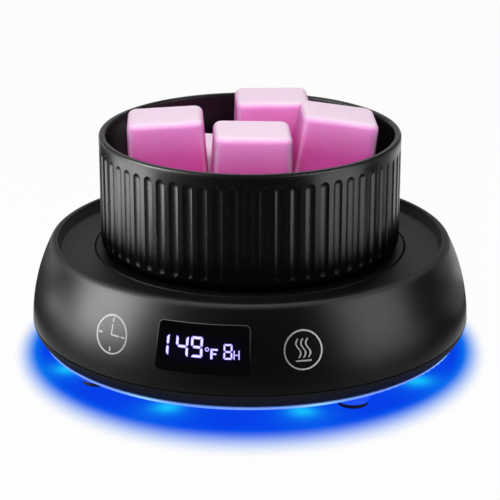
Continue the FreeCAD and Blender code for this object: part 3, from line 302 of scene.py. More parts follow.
class Finish:
    """A procedural material in the making. Its pattern lies in the piece's frame or in one of its own."""

    def __init__(self, name, **placing):
        self.material = bpy.data.materials.new(name)
        self.material.use_nodes = True
        self.tree = self.material.node_tree
        self.tree.nodes.clear()
        self.here = self.point(**placing)

    def node(self, kind, inputs=None, **settings):
        """A new node with its settings. An input is a plain value or a link."""
        made = self.tree.nodes.new(kind)
        for name, setting in settings.items():
            setattr(made, name, setting)
        for name, given in (inputs or {}).items():
            if isinstance(given, Value):
                given = given.socket
            if isinstance(given, bpy.types.NodeSocket):
                self.tree.links.new(given, made.inputs[name])
            else:
                made.inputs[name].default_value = given
        return made

    def math(self, operation, *numbers):
        made = self.node("ShaderNodeMath", dict(enumerate(numbers)), operation=operation)
        return Value(self, made.outputs[0])

    def mix(self, factor, first, second):
        """A colour between two others, each plain or from another node."""
        inputs = {0: factor}
        for place, colour in ((6, first), (7, second)):
            inputs[place] = colour if isinstance(colour, bpy.types.NodeSocket) else rgba(colour)
        return self.node("ShaderNodeMix", inputs, data_type="RGBA", clamp_factor=True).outputs[2]

    def point(self, centre=(0, 0, 0), turn=(0, 0, 0), scale=(1, 1, 1)):
        """Where a surface point lies on the piece, with the pattern moved, turned or stretched."""
        found = self.node("ShaderNodeTexCoord").outputs["Object"]
        inputs = {"Vector": found, "Location": centre, "Rotation": turn, "Scale": scale}
        return self.node("ShaderNodeMapping", inputs, vector_type="TEXTURE").outputs["Vector"]

    def parts(self):
        """The three numbers of a surface point."""
        made = self.node("ShaderNodeSeparateXYZ", {"Vector": self.here})
        return [Value(self, socket) for socket in made.outputs]

    def round_parts(self):
        """Distance from the axis, angle from the front, and height."""
        x, y, z = self.parts()
        return self.math("SQRT", x * x + y * y), self.math("ARCTAN2", x, y * -1.0), z

    def noise(self, per_metre, detail=3.0, **placing):
        """Soft noise, in the finish's own frame or in one that is turned or stretched."""
        point = self.point(**placing) if placing else self.here
        inputs = {"Vector": point, "Scale": per_metre, "Detail": detail, "Roughness": 0.55}
        return Value(self, self.node("ShaderNodeTexNoise", inputs).outputs["Fac"])

    def line_noise(self, number, per_metre):
        """Noise along one number, as for turned marks."""
        inputs = {"W": number, "Scale": per_metre, "Detail": 2.0}
        made = self.node("ShaderNodeTexNoise", inputs, noise_dimensions="1D")
        return Value(self, made.outputs["Fac"])

    def cell_edges(self, per_metre):
        """Distance from the edges of a net of cells."""
        inputs = {"Vector": self.here, "Scale": per_metre}
        made = self.node("ShaderNodeTexVoronoi", inputs, feature="DISTANCE_TO_EDGE")
        return Value(self, made.outputs["Distance"])

    def bump(self, height, strength, distance):
        inputs = {"Height": height, "Strength": strength, "Distance": distance}
        return self.node("ShaderNodeBump", inputs).outputs["Normal"]

    def principled(self, **inputs):
        """A principled shader. An underscore in a socket's name stands for a space."""
        named = {name.replace("_", " "): given for name, given in inputs.items()}
        return self.node("ShaderNodeBsdfPrincipled", named).outputs["BSDF"]

    def surface(self, **inputs):
        """The material with one principled shader all over."""
        return self.out(self.principled(**inputs))

    def out(self, shader):
        self.node("ShaderNodeOutputMaterial", {"Surface": shader})
        return self.material


def lamp_spots(finish, radius, angle, circle, spread):
    """One under each lamp of the ring, fading out over the spread."""
    pitch = FULL_TURN / LAMP_COUNT
    near = finish.math("WRAP", angle - LAMP_TURN, pitch / 2, -pitch / 2)
    across = near * circle
    out = radius - circle
    return finish.math("EXPONENT", (across * across + out * out) * (-0.5 / spread ** 2))


def satin_plastic(name, colour, lip_highlight, roughness, specular):
    """Moulded plastic with a fine grain and faint flow marks, duller on the deck, with a painted highlight
    on the lip's inner slope and crest.
    """
    finish = Finish(name)
    radius = finish.round_parts()[0]
    deck = 1.0 - radius.step(*DECK_END)
    # Painted highlight: the lip's inner slope and crest are coloured lighter than the drum.
    slope = radius.step(*SLOPE_START) * (1.0 - radius.step(*SLOPE_END))
    crest = radius.step(*CREST_START) * (1.0 - radius.step(*CREST_END))
    lip = (slope * 0.7).high(crest)
    flow = finish.noise(38.0)
    grain = finish.noise(3400.0, 2.0)
    tone = finish.mix(flow, shade(colour, 0.8), shade(colour, 1.25))
    tone = finish.mix(lip, tone, lip_highlight)
    rough = roughness + deck * 0.20 + (flow - 0.5) * 0.10 + (grain - 0.5) * 0.10
    normal = finish.bump(grain, 0.10, 0.02 * MM)
    return finish.surface(Base_Color=tone, Roughness=rough, Normal=normal, Specular_IOR_Level=specular)


def dish_coating(name, colour, roughness, specular):
    """Baked coating on a pressed cup: a fine orange peel, duller at the rim, and a painted shade round the
    foot, where a dead matt shader takes most reflections off.
    """
    finish = Finish(name)
    height = finish.parts()[2]
    peel = finish.noise(900.0, 2.0)
    cloud = finish.noise(55.0)
    rim = height.step(*RIM_START)
    # Painted shade: round the foot the dish turns dead matt with no reflections, so it is darker where it
    # meets the plate.
    foot = 1.0 - height.step(*FOOT_SHADE_END)
    tone = finish.mix(cloud, shade(colour, 0.8), shade(colour, 1.2))
    rough = roughness + (cloud - 0.5) * 0.08 + rim * 0.12
    normal = finish.bump(peel, 0.06, 0.03 * MM)
    glossy = finish.principled(Base_Color=tone, Roughness=rough, Normal=normal, Specular_IOR_Level=specular)
    matt = finish.principled(Base_Color=tone, Roughness=0.9, Normal=normal, Specular_IOR_Level=0.0)
    both = finish.node("ShaderNodeMixShader", {0: foot * 0.88, 1: glossy, 2: matt})
    return finish.out(both.outputs["Shader"])


def plate_coating(name, colour, roughness):
    """Glossy non-stick coating over a turned disc: faint rings under the gloss."""
    finish = Finish(name)
    radius = finish.round_parts()[0]
    rings = finish.line_noise(radius, 2600.0)
    cloud = finish.noise(70.0)
    tone = finish.mix(rings, shade(colour, 0.7), shade(colour, 1.3))
    rough = roughness + (rings - 0.5) * 0.10 + (cloud - 0.5) * 0.08
    normal = finish.bump(rings, 0.05, 0.02 * MM)
    return finish.surface(Base_Color=tone, Roughness=rough, Normal=normal, Specular_IOR_Level=0.2)


def smoked_window(name, colour):
    """Polished black window, a little smeared, with a faint violet glow round the digits."""
    finish = Finish(name)
    angle, height = finish.round_parts()[1:]
    beside = abs(angle) * flank_radius(KEY_HEIGHT)
    above = abs(height - KEY_HEIGHT)
    glow = (1.0 - beside.step(*WINDOW_GLOW_ASIDE)) * (1.0 - above.step(*WINDOW_GLOW_ABOVE))
    smear = finish.noise(120.0)
    tone = finish.mix(smear, shade(colour, 0.8), shade(colour, 1.2))
    rough = 0.07 + (smear - 0.5) * 0.06
    lit = finish.mix(glow, BLACK, WINDOW_GLOW)
    return finish.surface(Base_Color=tone, Roughness=rough, Specular_IOR_Level=0.12, Emission_Color=lit,
                          Emission_Strength=1.0)


def border_print(name, colour, highlight_colour):
    """Black print round the window, with a thin painted highlight line that fades out down its sides."""
    finish = Finish(name)
    angle, height = finish.round_parts()[1:]
    middle = (PRINT_BOTTOM + PRINT_TOP) / 2
    half_height = (PRINT_TOP - PRINT_BOTTOM) / 2
    across = abs(angle) * flank_radius(KEY_HEIGHT) - (PRINT_HALF_ARC - PRINT_CORNER)
    upward = abs(height - middle) - (half_height - PRINT_CORNER)
    beyond_x = across.high(0.0)
    beyond_z = upward.high(0.0)
    corner = finish.math("SQRT", beyond_x * beyond_x + beyond_z * beyond_z)
    inside = corner + across.high(upward).low(0.0) - PRINT_CORNER
    # Painted highlight: a light line round the window, fading at top and bottom and weaker to the right.
    lit = height.step(PRINT_BOTTOM + 1.0 * MM, PRINT_TOP - 1.0 * MM)
    from_left = 1.0 - angle.step(*HIGHLIGHT_FADE) * 0.55
    line = abs(inside + LINE_INSET).bell(LINE_WIDTH) * lit * from_left
    smear = finish.noise(120.0)
    tone = finish.mix(line, colour, highlight_colour)
    rough = 0.10 + (smear - 0.5) * 0.06 + line * 0.3
    return finish.surface(Base_Color=tone, Roughness=rough, Specular_IOR_Level=0.12)


def wax(name, colours, centre, lean):
    """Soft scented wax: painted light on its top and along its edges, and painted shade deepening down its
    sides.
    """
    finish = Finish(name, centre=centre, turn=(0.0, lean, MELT_TURN))
    x, y, z = finish.parts()
    cloud = finish.noise(130.0)
    narrowing = z * MELT_DRAFT
    from_x = MELT_HALF_WIDTH - narrowing - abs(x)
    from_y = MELT_HALF_DEPTH - narrowing - abs(y)
    from_top = MELT_HEIGHT - z
    nearer = from_x.low(from_y)
    further = from_x.high(from_y)
    to_edge = nearer.high(further.low(from_top)) + (cloud - 0.5) * 1.0 * MM
    # Painted light on the top and edges, and painted shade that deepens down the sides.
    edge = 1.0 - to_edge.step(*EDGE_PAINTED_LIGHT)
    top = 1.0 - (from_top + (cloud - 0.5) * 0.5 * MM).step(*TOP_PAINTED_LIGHT)
    side_shade = (from_top + (cloud - 0.5) * 2.0 * MM).step(*SIDE_PAINTED_SHADE)
    side = finish.mix(side_shade, colours.wax_side, colours.wax_shaded_low)
    lit_and_shaded = finish.mix((edge * 0.6).high(top), side, colours.wax_lit_top)
    pores = finish.noise(1500.0, 2.0)
    dimples = finish.noise(260.0, 1.0)
    normal = finish.bump(dimples * 0.8 + pores * 0.2, 0.16, 0.15 * MM)
    rough = 0.42 + (cloud - 0.5) * 0.16 + (pores - 0.5) * 0.08
    return finish.surface(
        Base_Color=lit_and_shaded, Roughness=rough, Normal=normal, Specular_IOR_Level=0.12,
        Subsurface_Weight=0.5, Subsurface_Radius=(1.0, 0.5, 0.8), Subsurface_Scale=3.5 * MM)


def frosted_light(name, colours):
    """Frosted diffuser lit from inside: hot under each lamp, paler at its edge, with a painted shadow under
    the band.
    """
    finish = Finish(name)
    radius, angle, height = finish.round_parts()
    spots = lamp_spots(finish, radius, angle, LAMP_CIRCLE, LAMP_SPREAD)
    frost = finish.noise(900.0, 2.0)
    band_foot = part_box("lower_housing")[0].z
    # Painted shadow: the diffuser's top under the band is blacked out.
    band_shadow = height.step(band_foot - STRIP_SHADOW[0], band_foot - STRIP_SHADOW[1]) * 0.92
    edge = radius.step(*STRIP_RADIUS) * height.step(*STRIP_HEIGHT)
    under = finish.mix(spots * 0.8, colours.glow, colours.glow_spot)
    lit = finish.mix(edge, under, finish.mix(spots, colours.glow_rim, colours.rim_spot))
    lit = finish.mix(band_shadow, lit, BLACK)
    body = finish.mix(frost, shade(colours.glow_rim, 0.4), shade(colours.glow_rim, 0.6))
    return finish.surface(Base_Color=body, Roughness=0.5 + (frost - 0.5) * 0.2, Emission_Color=lit,
                          Emission_Strength=0.9, Normal=finish.bump(frost, 0.1, 0.03 * MM))


def speckled(name, colour, roughness, per_metre, spread=0.15, bump=0.1):
    """A plain part's own colour with its grain, for what sits inside or under the base."""
    finish = Finish(name)
    grain = finish.noise(per_metre)
    tone = finish.mix(grain, shade(colour, 1 - spread), shade(colour, 1 + spread))
    rough = roughness + (grain - 0.5) * 0.2
    normal = finish.bump(grain, bump, 0.1 * MM)
    return finish.surface(Base_Color=tone, Roughness=rough, Normal=normal)


def brushed_metal(name, colour, roughness, stretch):
    """Metal with fine marks drawn out along one direction."""
    finish = Finish(name)
    marks = finish.noise(2200.0, 4.0, scale=stretch)
    cloud = finish.noise(90.0)
    tone = finish.mix(marks, shade(colour, 0.82), shade(colour, 1.12))
    rough = roughness + (marks - 0.5) * 0.22 + (cloud - 0.5) * 0.1
    normal = finish.bump(marks, 0.12, 0.02 * MM)
    return finish.surface(Base_Color=tone, Roughness=rough, Metallic=1.0, Normal=normal)


def circuit_board(name, mask, copper):
    """Solder mask over a net of copper tracks, with a few round ones."""
    finish = Finish(name)
    radius = finish.round_parts()[0]
    lanes = finish.cell_edges(240.0)
    tracks = 1.0 - lanes.step(0.06, 0.10)
    weave = finish.noise(1400.0)
    rings = finish.line_noise(radius, 700.0).step(0.56, 0.60)
    under = finish.mix(tracks.high(rings) * 0.55, mask, copper)
    tone = finish.mix(weave * 0.3, under, shade(mask, 0.55))
    normal = finish.bump(tracks + weave * 0.2, 0.2, 0.03 * MM)
    return finish.surface(Base_Color=tone, Roughness=0.32 + weave * 0.12, Normal=normal)


def heater_film(name, film, track):
    """Amber film with its etched heating track winding outwards."""
    finish = Finish(name)
    radius, angle = finish.round_parts()[:2]
    pitch = 3.2 * MM
    winding = finish.math("SINE", radius * (FULL_TURN / pitch) + angle)
    tracks = winding.step(-0.1, 0.1)
    cloud = finish.noise(300.0)
    tone = finish.mix(tracks * 0.7, film, track)
    tone = finish.mix(cloud * 0.3, tone, shade(film, 0.6))
    normal = finish.bump(tracks, 0.2, 0.03 * MM)
    return finish.surface(Base_Color=tone, Roughness=0.3 + cloud * 0.1, Normal=normal)


def felt(name, colour):
    """Pressed fibre: crossed strands in a soft nap."""
    strand = (8.0, 1.0, 1.0)
    finish = Finish(name, scale=strand)
    one_way = finish.noise(1500.0)
    other_way = finish.noise(1500.0, turn=(0, 0, 1.1), scale=strand)
    strands = one_way.high(other_way)
    tone = finish.mix(strands, shade(colour, 0.65), colour)
    return finish.surface(Base_Color=tone, Roughness=0.95, Normal=finish.bump(strands, 0.5, 0.2 * MM))


def lit_print(name, colour, strength):
    """A glowing ink or lamp segment, slightly uneven as light through a mask is."""
    finish = Finish(name)
    cloud = finish.noise(700.0)
    lit = finish.mix(cloud, shade(colour, 0.86), colour)
    return finish.surface(Base_Color=rgba(shade(colour, 0.25)), Roughness=0.4, Emission_Color=lit,
                          Emission_Strength=strength)


def printed_ink(name, colour, shaded_share):
    """Pale satin ink on the housing, a little worn, and painted lighter away from the display as a painted
    highlight.
    """
    finish = Finish(name)
    angle = finish.round_parts()[1]
    wear = finish.noise(600.0)
    full = (abs(angle) * flank_radius(KEY_HEIGHT)).step(*INK_HIGHLIGHT_SPAN)
    tone = finish.mix(full * (0.85 + wear * 0.3), shade(colour, shaded_share), colour)
    return finish.surface(Base_Color=tone, Roughness=0.45 + (wear - 0.5) * 0.2,
                          Normal=finish.bump(wear, 0.1, 0.02 * MM))


def flank_radius(height):
    """Radius of the bowed flank at a height."""
    return FLANK_ARC_CENTRE + math.sqrt(FLANK_ARC ** 2 - (height - FLANK_WIDEST) ** 2)


def dress(node, material):
    """Give a CAD node its finish."""
    mesh = NODES[node].data
    mesh.materials.clear()
    mesh.materials.append(material)


def dress_slot(slot, material):
    """Give every CAD node of a material slot its finish."""
    for part in frame["record"]["subparts"]:
        if part["material_slot"] == slot:
            dress(part["node"], material)


def mesh_object(name, bm, materials):
    """Turn a modelled mesh into an object of the scene, its faces turned outwards."""
    bmesh.ops.recalc_face_normals(bm, faces=bm.faces[:])
    mesh = bpy.data.meshes.new(name)
    bm.to_mesh(mesh)
    bm.free()
    for material in materials:
        mesh.materials.append(material)
    made = bpy.data.objects.new(name, mesh)
    bpy.context.scene.collection.objects.link(made)
    return made


def new_piece(name, bm, film, materials, body):
    """Lay a flat drawing on the flank, as a piece that moves with its body."""
    lay_on_flank(bm, film)
    piece = mesh_object(name, bm, materials)
    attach(piece, body)


def flat_bar(bm, length, width, middle, angle=0.0, near=BLUNT, far=BLUNT):
    """A flat bar. Each end is cut back above and below by a share of the width."""
    verts = bmesh.ops.create_grid(bm, x_segments=2, y_segments=2, size=0.5)["verts"]
    bmesh.ops.scale(bm, vec=(length, width, 1.0), verts=verts)
    for vert in verts:
        if abs(vert.co.x) < length / 4:
            continue
        above, below = far if vert.co.x > 0 else near
        cut = abs(above - below) / 2
        if abs(vert.co.y) > width / 4:
            cut = above if vert.co.y > 0 else below
        vert.co.x -= math.copysign(width * cut, vert.co.x)
    bmesh.ops.rotate(bm, cent=(0, 0, 0), matrix=Matrix.Rotation(angle, 3, "Z"), verts=verts)
    bmesh.ops.translate(bm, vec=(middle[0], middle[1], 0.0), verts=verts)


def flat_ring(bm, radius, width, middle, steps):
    """A flat ring, turned from one short edge."""
    inner = bm.verts.new((radius - width, 0.0, 0.0))
    outer = bm.verts.new((radius, 0.0, 0.0))
    edge = bm.edges.new((inner, outer))
    before = set(bm.verts) - {inner, outer}
    bmesh.ops.spin(bm, geom=[inner, outer, edge], cent=(0, 0, 0), axis=(0, 0, 1), angle=FULL_TURN,
                   steps=steps, use_merge=True)
    verts = [vert for vert in bm.verts if vert not in before]
    bmesh.ops.translate(bm, vec=(middle[0], middle[1], 0.0), verts=verts)


def flat_wave(bm, length, width, swing, middle):
    """An upright wavy stroke, one full wave long."""
    verts = bmesh.ops.create_grid(bm, x_segments=2, y_segments=28, size=0.5)["verts"]
    bmesh.ops.scale(bm, vec=(width, length, 1.0), verts=verts)
    for vert in verts:
        vert.co.x -= swing * math.sin(FULL_TURN * (0.5 - vert.co.y / length))
    bmesh.ops.translate(bm, vec=(middle[0], middle[1], 0.0), verts=verts)


def lay_on_flank(bm, proud):
    """Give a flat drawing its thickness and wrap it on the bowed flank: x runs round, y runs up."""
    bmesh.ops.remove_doubles(bm, verts=bm.verts[:], dist=1e-7)
    bmesh.ops.recalc_face_normals(bm, faces=bm.faces[:])
    for face in bm.faces:
        if face.normal.z < 0:
            face.normal_flip()
    raised = bmesh.ops.extrude_face_region(bm, geom=bm.faces[:], use_keep_orig=True)["geom"]
    top = {item for item in raised if isinstance(item, bmesh.types.BMVert)}
    key_radius = flank_radius(KEY_HEIGHT)
    for vert in bm.verts:
        angle = vert.co.x / key_radius
        height = vert.co.y
        reach = flank_radius(height) + (proud if vert in top else -PRINT_SUNK)
        vert.co = Vector((reach * math.sin(angle), -reach * math.cos(angle), height))


def draw_digit(bm, digit, left, bottom, width, height, stroke):
    """One seven-part digit, its mitred bars set a little apart."""
    half = height / 2
    right_mid = left + width - stroke / 2
    left_mid = left + stroke / 2
    level = width - SEGMENT_GAP * 2
    between = width - stroke - SEGMENT_GAP * 2
    upright = half - SEGMENT_GAP * 2
    up = QUARTER_TURN
    centre = left + width / 2
    lower_mid = bottom + half / 2
    upper_mid = bottom + half * 1.5
    bars = {
        "a": (level, (centre, bottom + height - stroke / 2), 0.0, LONG_ABOVE, LONG_ABOVE),
        "b": (upright, (right_mid, upper_mid), up, POINTED, LONG_BELOW),
        "c": (upright, (right_mid, lower_mid), up, LONG_BELOW, POINTED),
        "d": (level, (centre, bottom + stroke / 2), 0.0, LONG_BELOW, LONG_BELOW),
        "e": (upright, (left_mid, lower_mid), up, LONG_ABOVE, POINTED),
        "f": (upright, (left_mid, upper_mid), up, POINTED, LONG_ABOVE),
        "g": (between, (centre, bottom + half), 0.0, POINTED, POINTED),
    }
    for name in SEGMENTS[digit]:
        length, middle, angle, near, far = bars[name]
        flat_bar(bm, length, stroke, middle, angle, near, far)


def draw_border():
    """The print round the window, cut fine enough to follow the flank."""
    bm = bmesh.new()
    verts = bmesh.ops.create_grid(bm, x_segments=1, y_segments=1, size=0.5)["verts"]
    bmesh.ops.scale(bm, vec=(PRINT_HALF_ARC * 2, PRINT_TOP - PRINT_BOTTOM, 1.0), verts=verts)
    middle = (PRINT_TOP + PRINT_BOTTOM) / 2
    bmesh.ops.translate(bm, vec=(0.0, middle, 0.0), verts=verts)
    bmesh.ops.bevel(bm, geom=bm.verts[:], offset=PRINT_CORNER, segments=8, profile=0.5, affect="VERTICES",
                    material=-1)
    inner = bm.faces[:]
    bmesh.ops.inset_region(bm, faces=inner, thickness=PRINT_WIDTH, use_even_offset=True, use_boundary=True)
    chin = [vert for vert in inner[0].verts if vert.co.y < middle]
    bmesh.ops.translate(bm, vec=(0.0, PRINT_CHIN, 0.0), verts=chin)
    bmesh.ops.delete(bm, geom=inner, context="FACES_ONLY")
    pieces = 24
    for step in range(1, pieces):
        across = PRINT_HALF_ARC * (2 * step / pieces - 1)
        up = PRINT_BOTTOM + (PRINT_TOP - PRINT_BOTTOM) * step / pieces
        for place, facing in (((across, 0.0, 0.0), (1.0, 0.0, 0.0)), ((0.0, up, 0.0), (0.0, 1.0, 0.0))):
            everything = bm.verts[:] + bm.edges[:] + bm.faces[:]
            bmesh.ops.bisect_plane(bm, geom=everything, plane_co=place, plane_no=facing)
    return bm


class WarmerColours(bpy.types.PropertyGroup):
    """Colours and gloss of the warmer's finishes, as linear light."""

    housing: bpy.props.FloatVectorProperty(
        name="Housing", description="Black of the drum", subtype="COLOR",
        default=(0.0015, 0.0015, 0.0016), min=0.0, max=1.0)
    # Colour of the painted highlight on the lip's crest and inner slope.
    lip: bpy.props.FloatVectorProperty(
        name="Lip", description="Rubbed black on the lip's crest and inner slope", subtype="COLOR",
        default=(0.030, 0.030, 0.031), min=0.0, max=1.0)
    band: bpy.props.FloatVectorProperty(
        name="Band", description="Black of the lower band", subtype="COLOR",
        default=(0.0135, 0.0135, 0.0135), min=0.0, max=1.0)
    dish: bpy.props.FloatVectorProperty(
        name="Dish", description="Coating of the fluted dish", subtype="COLOR",
        default=(0.0028, 0.0025, 0.0030), min=0.0, max=1.0)
    plate: bpy.props.FloatVectorProperty(
        name="Plate", description="Coating of the heating plate", subtype="COLOR",
        default=(0.0030, 0.0030, 0.0032), min=0.0, max=1.0)
    # The wax top colour is painted light on the tops and edges of the melts.
    wax_lit_top: bpy.props.FloatVectorProperty(
        name="Wax top", description="Frosted tops and edges of the melts", subtype="COLOR",
        default=(0.97, 0.73, 0.885), min=0.0, max=1.0)
    wax_side: bpy.props.FloatVectorProperty(
        name="Wax side", description="Upper sides of the melts", subtype="COLOR",
        default=(0.98, 0.335, 0.78), min=0.0, max=1.0)
    # The wax low colour is painted shade on the lower sides of the melts.
    wax_shaded_low: bpy.props.FloatVectorProperty(
        name="Wax low", description="Deep lower sides of the melts", subtype="COLOR",
        default=(0.75, 0.10, 0.44), min=0.0, max=1.0)
    glow: bpy.props.FloatVectorProperty(
        name="Under-glow", description="Blue of the light under the base", subtype="COLOR",
        default=(0.002, 0.055, 0.82), min=0.0, max=1.0)
    glow_spot: bpy.props.FloatVectorProperty(
        name="Lamp spot", description="Brighter blue under each lamp", subtype="COLOR",
        default=(0.008, 0.54, 1.0), min=0.0, max=1.0)
    glow_fade: bpy.props.FloatVectorProperty(
        name="Glow fade", description="Blue of the glow where it fades out on the floor", subtype="COLOR",
        default=(0.002, 0.25, 0.90), min=0.0, max=1.0)
    glow_rim: bpy.props.FloatVectorProperty(
        name="Diffuser edge", description="Pale edge of the lit diffuser", subtype="COLOR",
        default=(0.145, 0.30, 0.86), min=0.0, max=1.0)
    rim_spot: bpy.props.FloatVectorProperty(
        name="Edge spot", description="Brighter edge of the diffuser under each lamp", subtype="COLOR",
        default=(0.36, 0.78, 1.0), min=0.0, max=1.0)
    digit: bpy.props.FloatVectorProperty(
        name="Digits", description="Light of the digits", subtype="COLOR",
        default=(0.80, 0.74, 1.0), min=0.0, max=1.0)
    digit_fringe: bpy.props.FloatVectorProperty(
        name="Digit fringe", description="Violet fringe round the digits", subtype="COLOR",
        default=(0.12, 0.07, 0.62), min=0.0, max=1.0)
    # The clock sign's ink is set lighter than the heat sign's: painted light from the left.
    clock_sign: bpy.props.FloatVectorProperty(
        name="Clock sign", description="Pale ink of the clock sign", subtype="COLOR",
        default=(0.70, 0.69, 0.68), min=0.0, max=1.0)
    heat_sign: bpy.props.FloatVectorProperty(
        name="Heat sign", description="Pale ink of the heat sign", subtype="COLOR",
        default=(0.50, 0.49, 0.48), min=0.0, max=1.0)
    housing_roughness: bpy.props.FloatProperty(
        name="Housing roughness", description="How matt the housing is", default=0.34, min=0.0, max=1.0,
        subtype="FACTOR")
    dish_roughness: bpy.props.FloatProperty(
        name="Dish roughness", description="How matt the dish is", default=0.27, min=0.0, max=1.0,
        subtype="FACTOR")


class DisplaySizes(bpy.types.PropertyGroup):
    """Sizes of the digits and the touch signs."""

    digit_bottom: bpy.props.FloatProperty(
        name="Digit foot", description="Height of the foot of the digits above the floor",
        default=21.65 * MM, unit="LENGTH")
    digit_height: bpy.props.FloatProperty(
        name="Digit height", description="Height of the three large digits", default=6.15 * MM,
        unit="LENGTH")
    digit_stroke: bpy.props.FloatProperty(
        name="Digit stroke", description="Width of a bar of a large digit", default=0.88 * MM,
        unit="LENGTH")
    fringe: bpy.props.FloatProperty(
        name="Fringe", description="Width of the violet fringe inside each bar", default=0.12 * MM,
        unit="LENGTH")
    film: bpy.props.FloatProperty(
        name="Film", description="How far digits and signs stand out of the surface", default=0.06 * MM,
        unit="LENGTH")
    clock_arc: bpy.props.FloatProperty(
        name="Clock sign", description="Arc from the front to the middle of the clock sign, to the left",
        default=28.65 * MM, unit="LENGTH")
    heat_arc: bpy.props.FloatProperty(
        name="Heat sign", description="Arc from the front to the middle of the heat sign, to the right",
        default=28.2 * MM, unit="LENGTH")
    ring_radius: bpy.props.FloatProperty(
        name="Ring radius", description="Outer radius of a touch sign's ring", default=5.55 * MM,
        unit="LENGTH")
    line: bpy.props.FloatProperty(
        name="Line", description="Width of a touch sign's lines", default=0.45 * MM, unit="LENGTH")


class StudioSetup(bpy.types.PropertyGroup):
    """Camera and light."""

    azimuth: bpy.props.FloatProperty(
        name="Azimuth", description="Camera's turn from the front towards the right",
        default=math.radians(11.7), unit="ROTATION")
    elevation: bpy.props.FloatProperty(
        name="Elevation", description="Camera's height over the horizon", default=math.radians(19.6),
        unit="ROTATION")
    distance: bpy.props.FloatProperty(
        name="Distance", description="Camera's distance from what it looks at", default=576.3 * MM,
        unit="LENGTH")
    aim_height: bpy.props.FloatProperty(
        name="Aim", description="Height on the axis that the camera looks at", default=30.86 * MM,
        unit="LENGTH")
    lens: bpy.props.FloatProperty(
        name="Lens", description="Focal length in millimetres", default=135.0, min=1.0, unit="CAMERA")
    left_light: bpy.props.FloatProperty(
        name="Left box", description="Brightness of the soft box on the left", default=8.5, min=0.0)
    right_light: bpy.props.FloatProperty(
        name="Right box", description="Brightness of the soft box on the right", default=2.4, min=0.0)
    back_light: bpy.props.FloatProperty(
        name="Back box", description="Brightness of the soft box behind and above", default=1.3, min=0.0)
    top_light: bpy.props.FloatProperty(
        name="Top box", description="Brightness of the soft box over the front", default=4.5, min=0.0)
    front_light: bpy.props.FloatProperty(
        name="Front box", description="Brightness of the broad box over the camera", default=2.2, min=0.0)
    left_card: bpy.props.FloatProperty(
        name="Left card", description="Brightness of the card on the left", default=2.75, min=0.0)
    right_card: bpy.props.FloatProperty(
        name="Right card", description="Brightness of the card on the right", default=1.0, min=0.0)
    edge_card: bpy.props.FloatProperty(
        name="Edge card", description="Brightness of the card behind the right edge", default=0.15, min=0.0)
    fill_light: bpy.props.FloatProperty(
        name="Fill", description="Brightness of the room", default=0.02, min=0.0)
    glow_start: bpy.props.FloatProperty(
        name="Glow start", description="Radius at which the under-glow starts to fade on the floor",
        default=63.8 * MM, unit="LENGTH")
    glow_reach: bpy.props.FloatProperty(
        name="Glow reach", description="Radius at which the under-glow has faded in front",
        default=82.8 * MM, unit="LENGTH")


class WARMER_OT_base(bpy.types.Operator):
    """Finish the drum, the band, the feet and the heating plate"""

    bl_idname = "warmer.base"
    bl_label = "Base"

    def execute(self, context):
        colours = context.scene.warmer_colours
        rough = colours.housing_roughness
        drum = satin_plastic("satin_black", colours.housing, colours.lip, rough, specular=0.5)
        band = satin_plastic("band_black", colours.band, colours.band, rough + 0.20, specular=0.05)
        dress("upper_housing", drum)
        dress("lower_housing", band)
        dress("heating_plate", plate_coating("plate_coating", colours.plate, roughness=0.45))
        dress_slot("foot_rubber", speckled("foot_rubber", (0.010, 0.010, 0.011), 0.75, 1600.0, 0.3))
        return {"FINISHED"}


class WARMER_OT_dish(bpy.types.Operator):
    """Coat the fluted dish"""

    bl_idname = "warmer.dish"
    bl_label = "Dish"

    def execute(self, context):
        colours = context.scene.warmer_colours
        dress("wax_dish", dish_coating("dish_coating", colours.dish, colours.dish_roughness, specular=0.8))
        return {"FINISHED"}


class WARMER_OT_wax(bpy.types.Operator):
    """Colour the wax melts, each in its own frame"""

    bl_idname = "warmer.wax"
    bl_label = "Wax melts"

    def execute(self, context):
        colours = context.scene.warmer_colours
        spun = Matrix.Rotation(MELT_TURN, 3, "Z")
        for node, (seat, lean) in MELTS.items():
            centre = spun @ (Vector(seat) * MM)
            dress(node, wax(node, colours, centre, math.radians(lean)))
        floor_centre = (0.0, 0.0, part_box("lower_wax_melts")[0].z)
        dress("lower_wax_melts", wax("lower_wax", colours, floor_centre, 0.0))
        return {"FINISHED"}


class WARMER_OT_display(bpy.types.Operator):
    """Smoke the window and light its digits"""

    bl_idname = "warmer.display"
    bl_label = "Display"

    def execute(self, context):
        colours = context.scene.warmer_colours
        sizes = context.scene.warmer_display
        dress("display_window", smoked_window("smoked_window", WINDOW_BLACK))
        border = border_print("border_print", WINDOW_BLACK, HIGHLIGHT_LINE_COLOUR)
        new_piece("window_border", draw_border(), sizes.film, [border], "base")
        bm = bmesh.new()
        foot, tall, stroke = sizes.digit_bottom, sizes.digit_height, sizes.digit_stroke
        for digit, left, width, lift in LARGE_DIGITS:
            draw_digit(bm, digit, left * MM, foot + lift * MM, width * MM, tall - lift * MM, stroke)
        draw_digit(bm, "8", SMALL_LEFT, foot + SMALL_LIFT, SMALL_WIDTH, SMALL_HEIGHT, SMALL_STROKE)
        flat_ring(bm, DEGREE_RADIUS, DEGREE_LINE, (DEGREE_ACROSS, foot + DEGREE_UP), DEGREE_STEPS)
        for length, width, (across, up), stands in LETTER_BARS:
            angle = QUARTER_TURN if stands else 0.0
            flat_bar(bm, length * MM, width * MM, (across * MM, foot + up * MM), angle)
        rims = bmesh.ops.inset_region(bm, faces=bm.faces[:], thickness=sizes.fringe, use_even_offset=True,
                                      use_boundary=True)["faces"]
        for face in rims:
            face.material_index = 1
        core = lit_print("digit_light", colours.digit, 1.0)
        fringe = lit_print("digit_fringe", colours.digit_fringe, 1.0)
        new_piece("display_digits", bm, sizes.film, [core, fringe], "base")
        return {"FINISHED"}


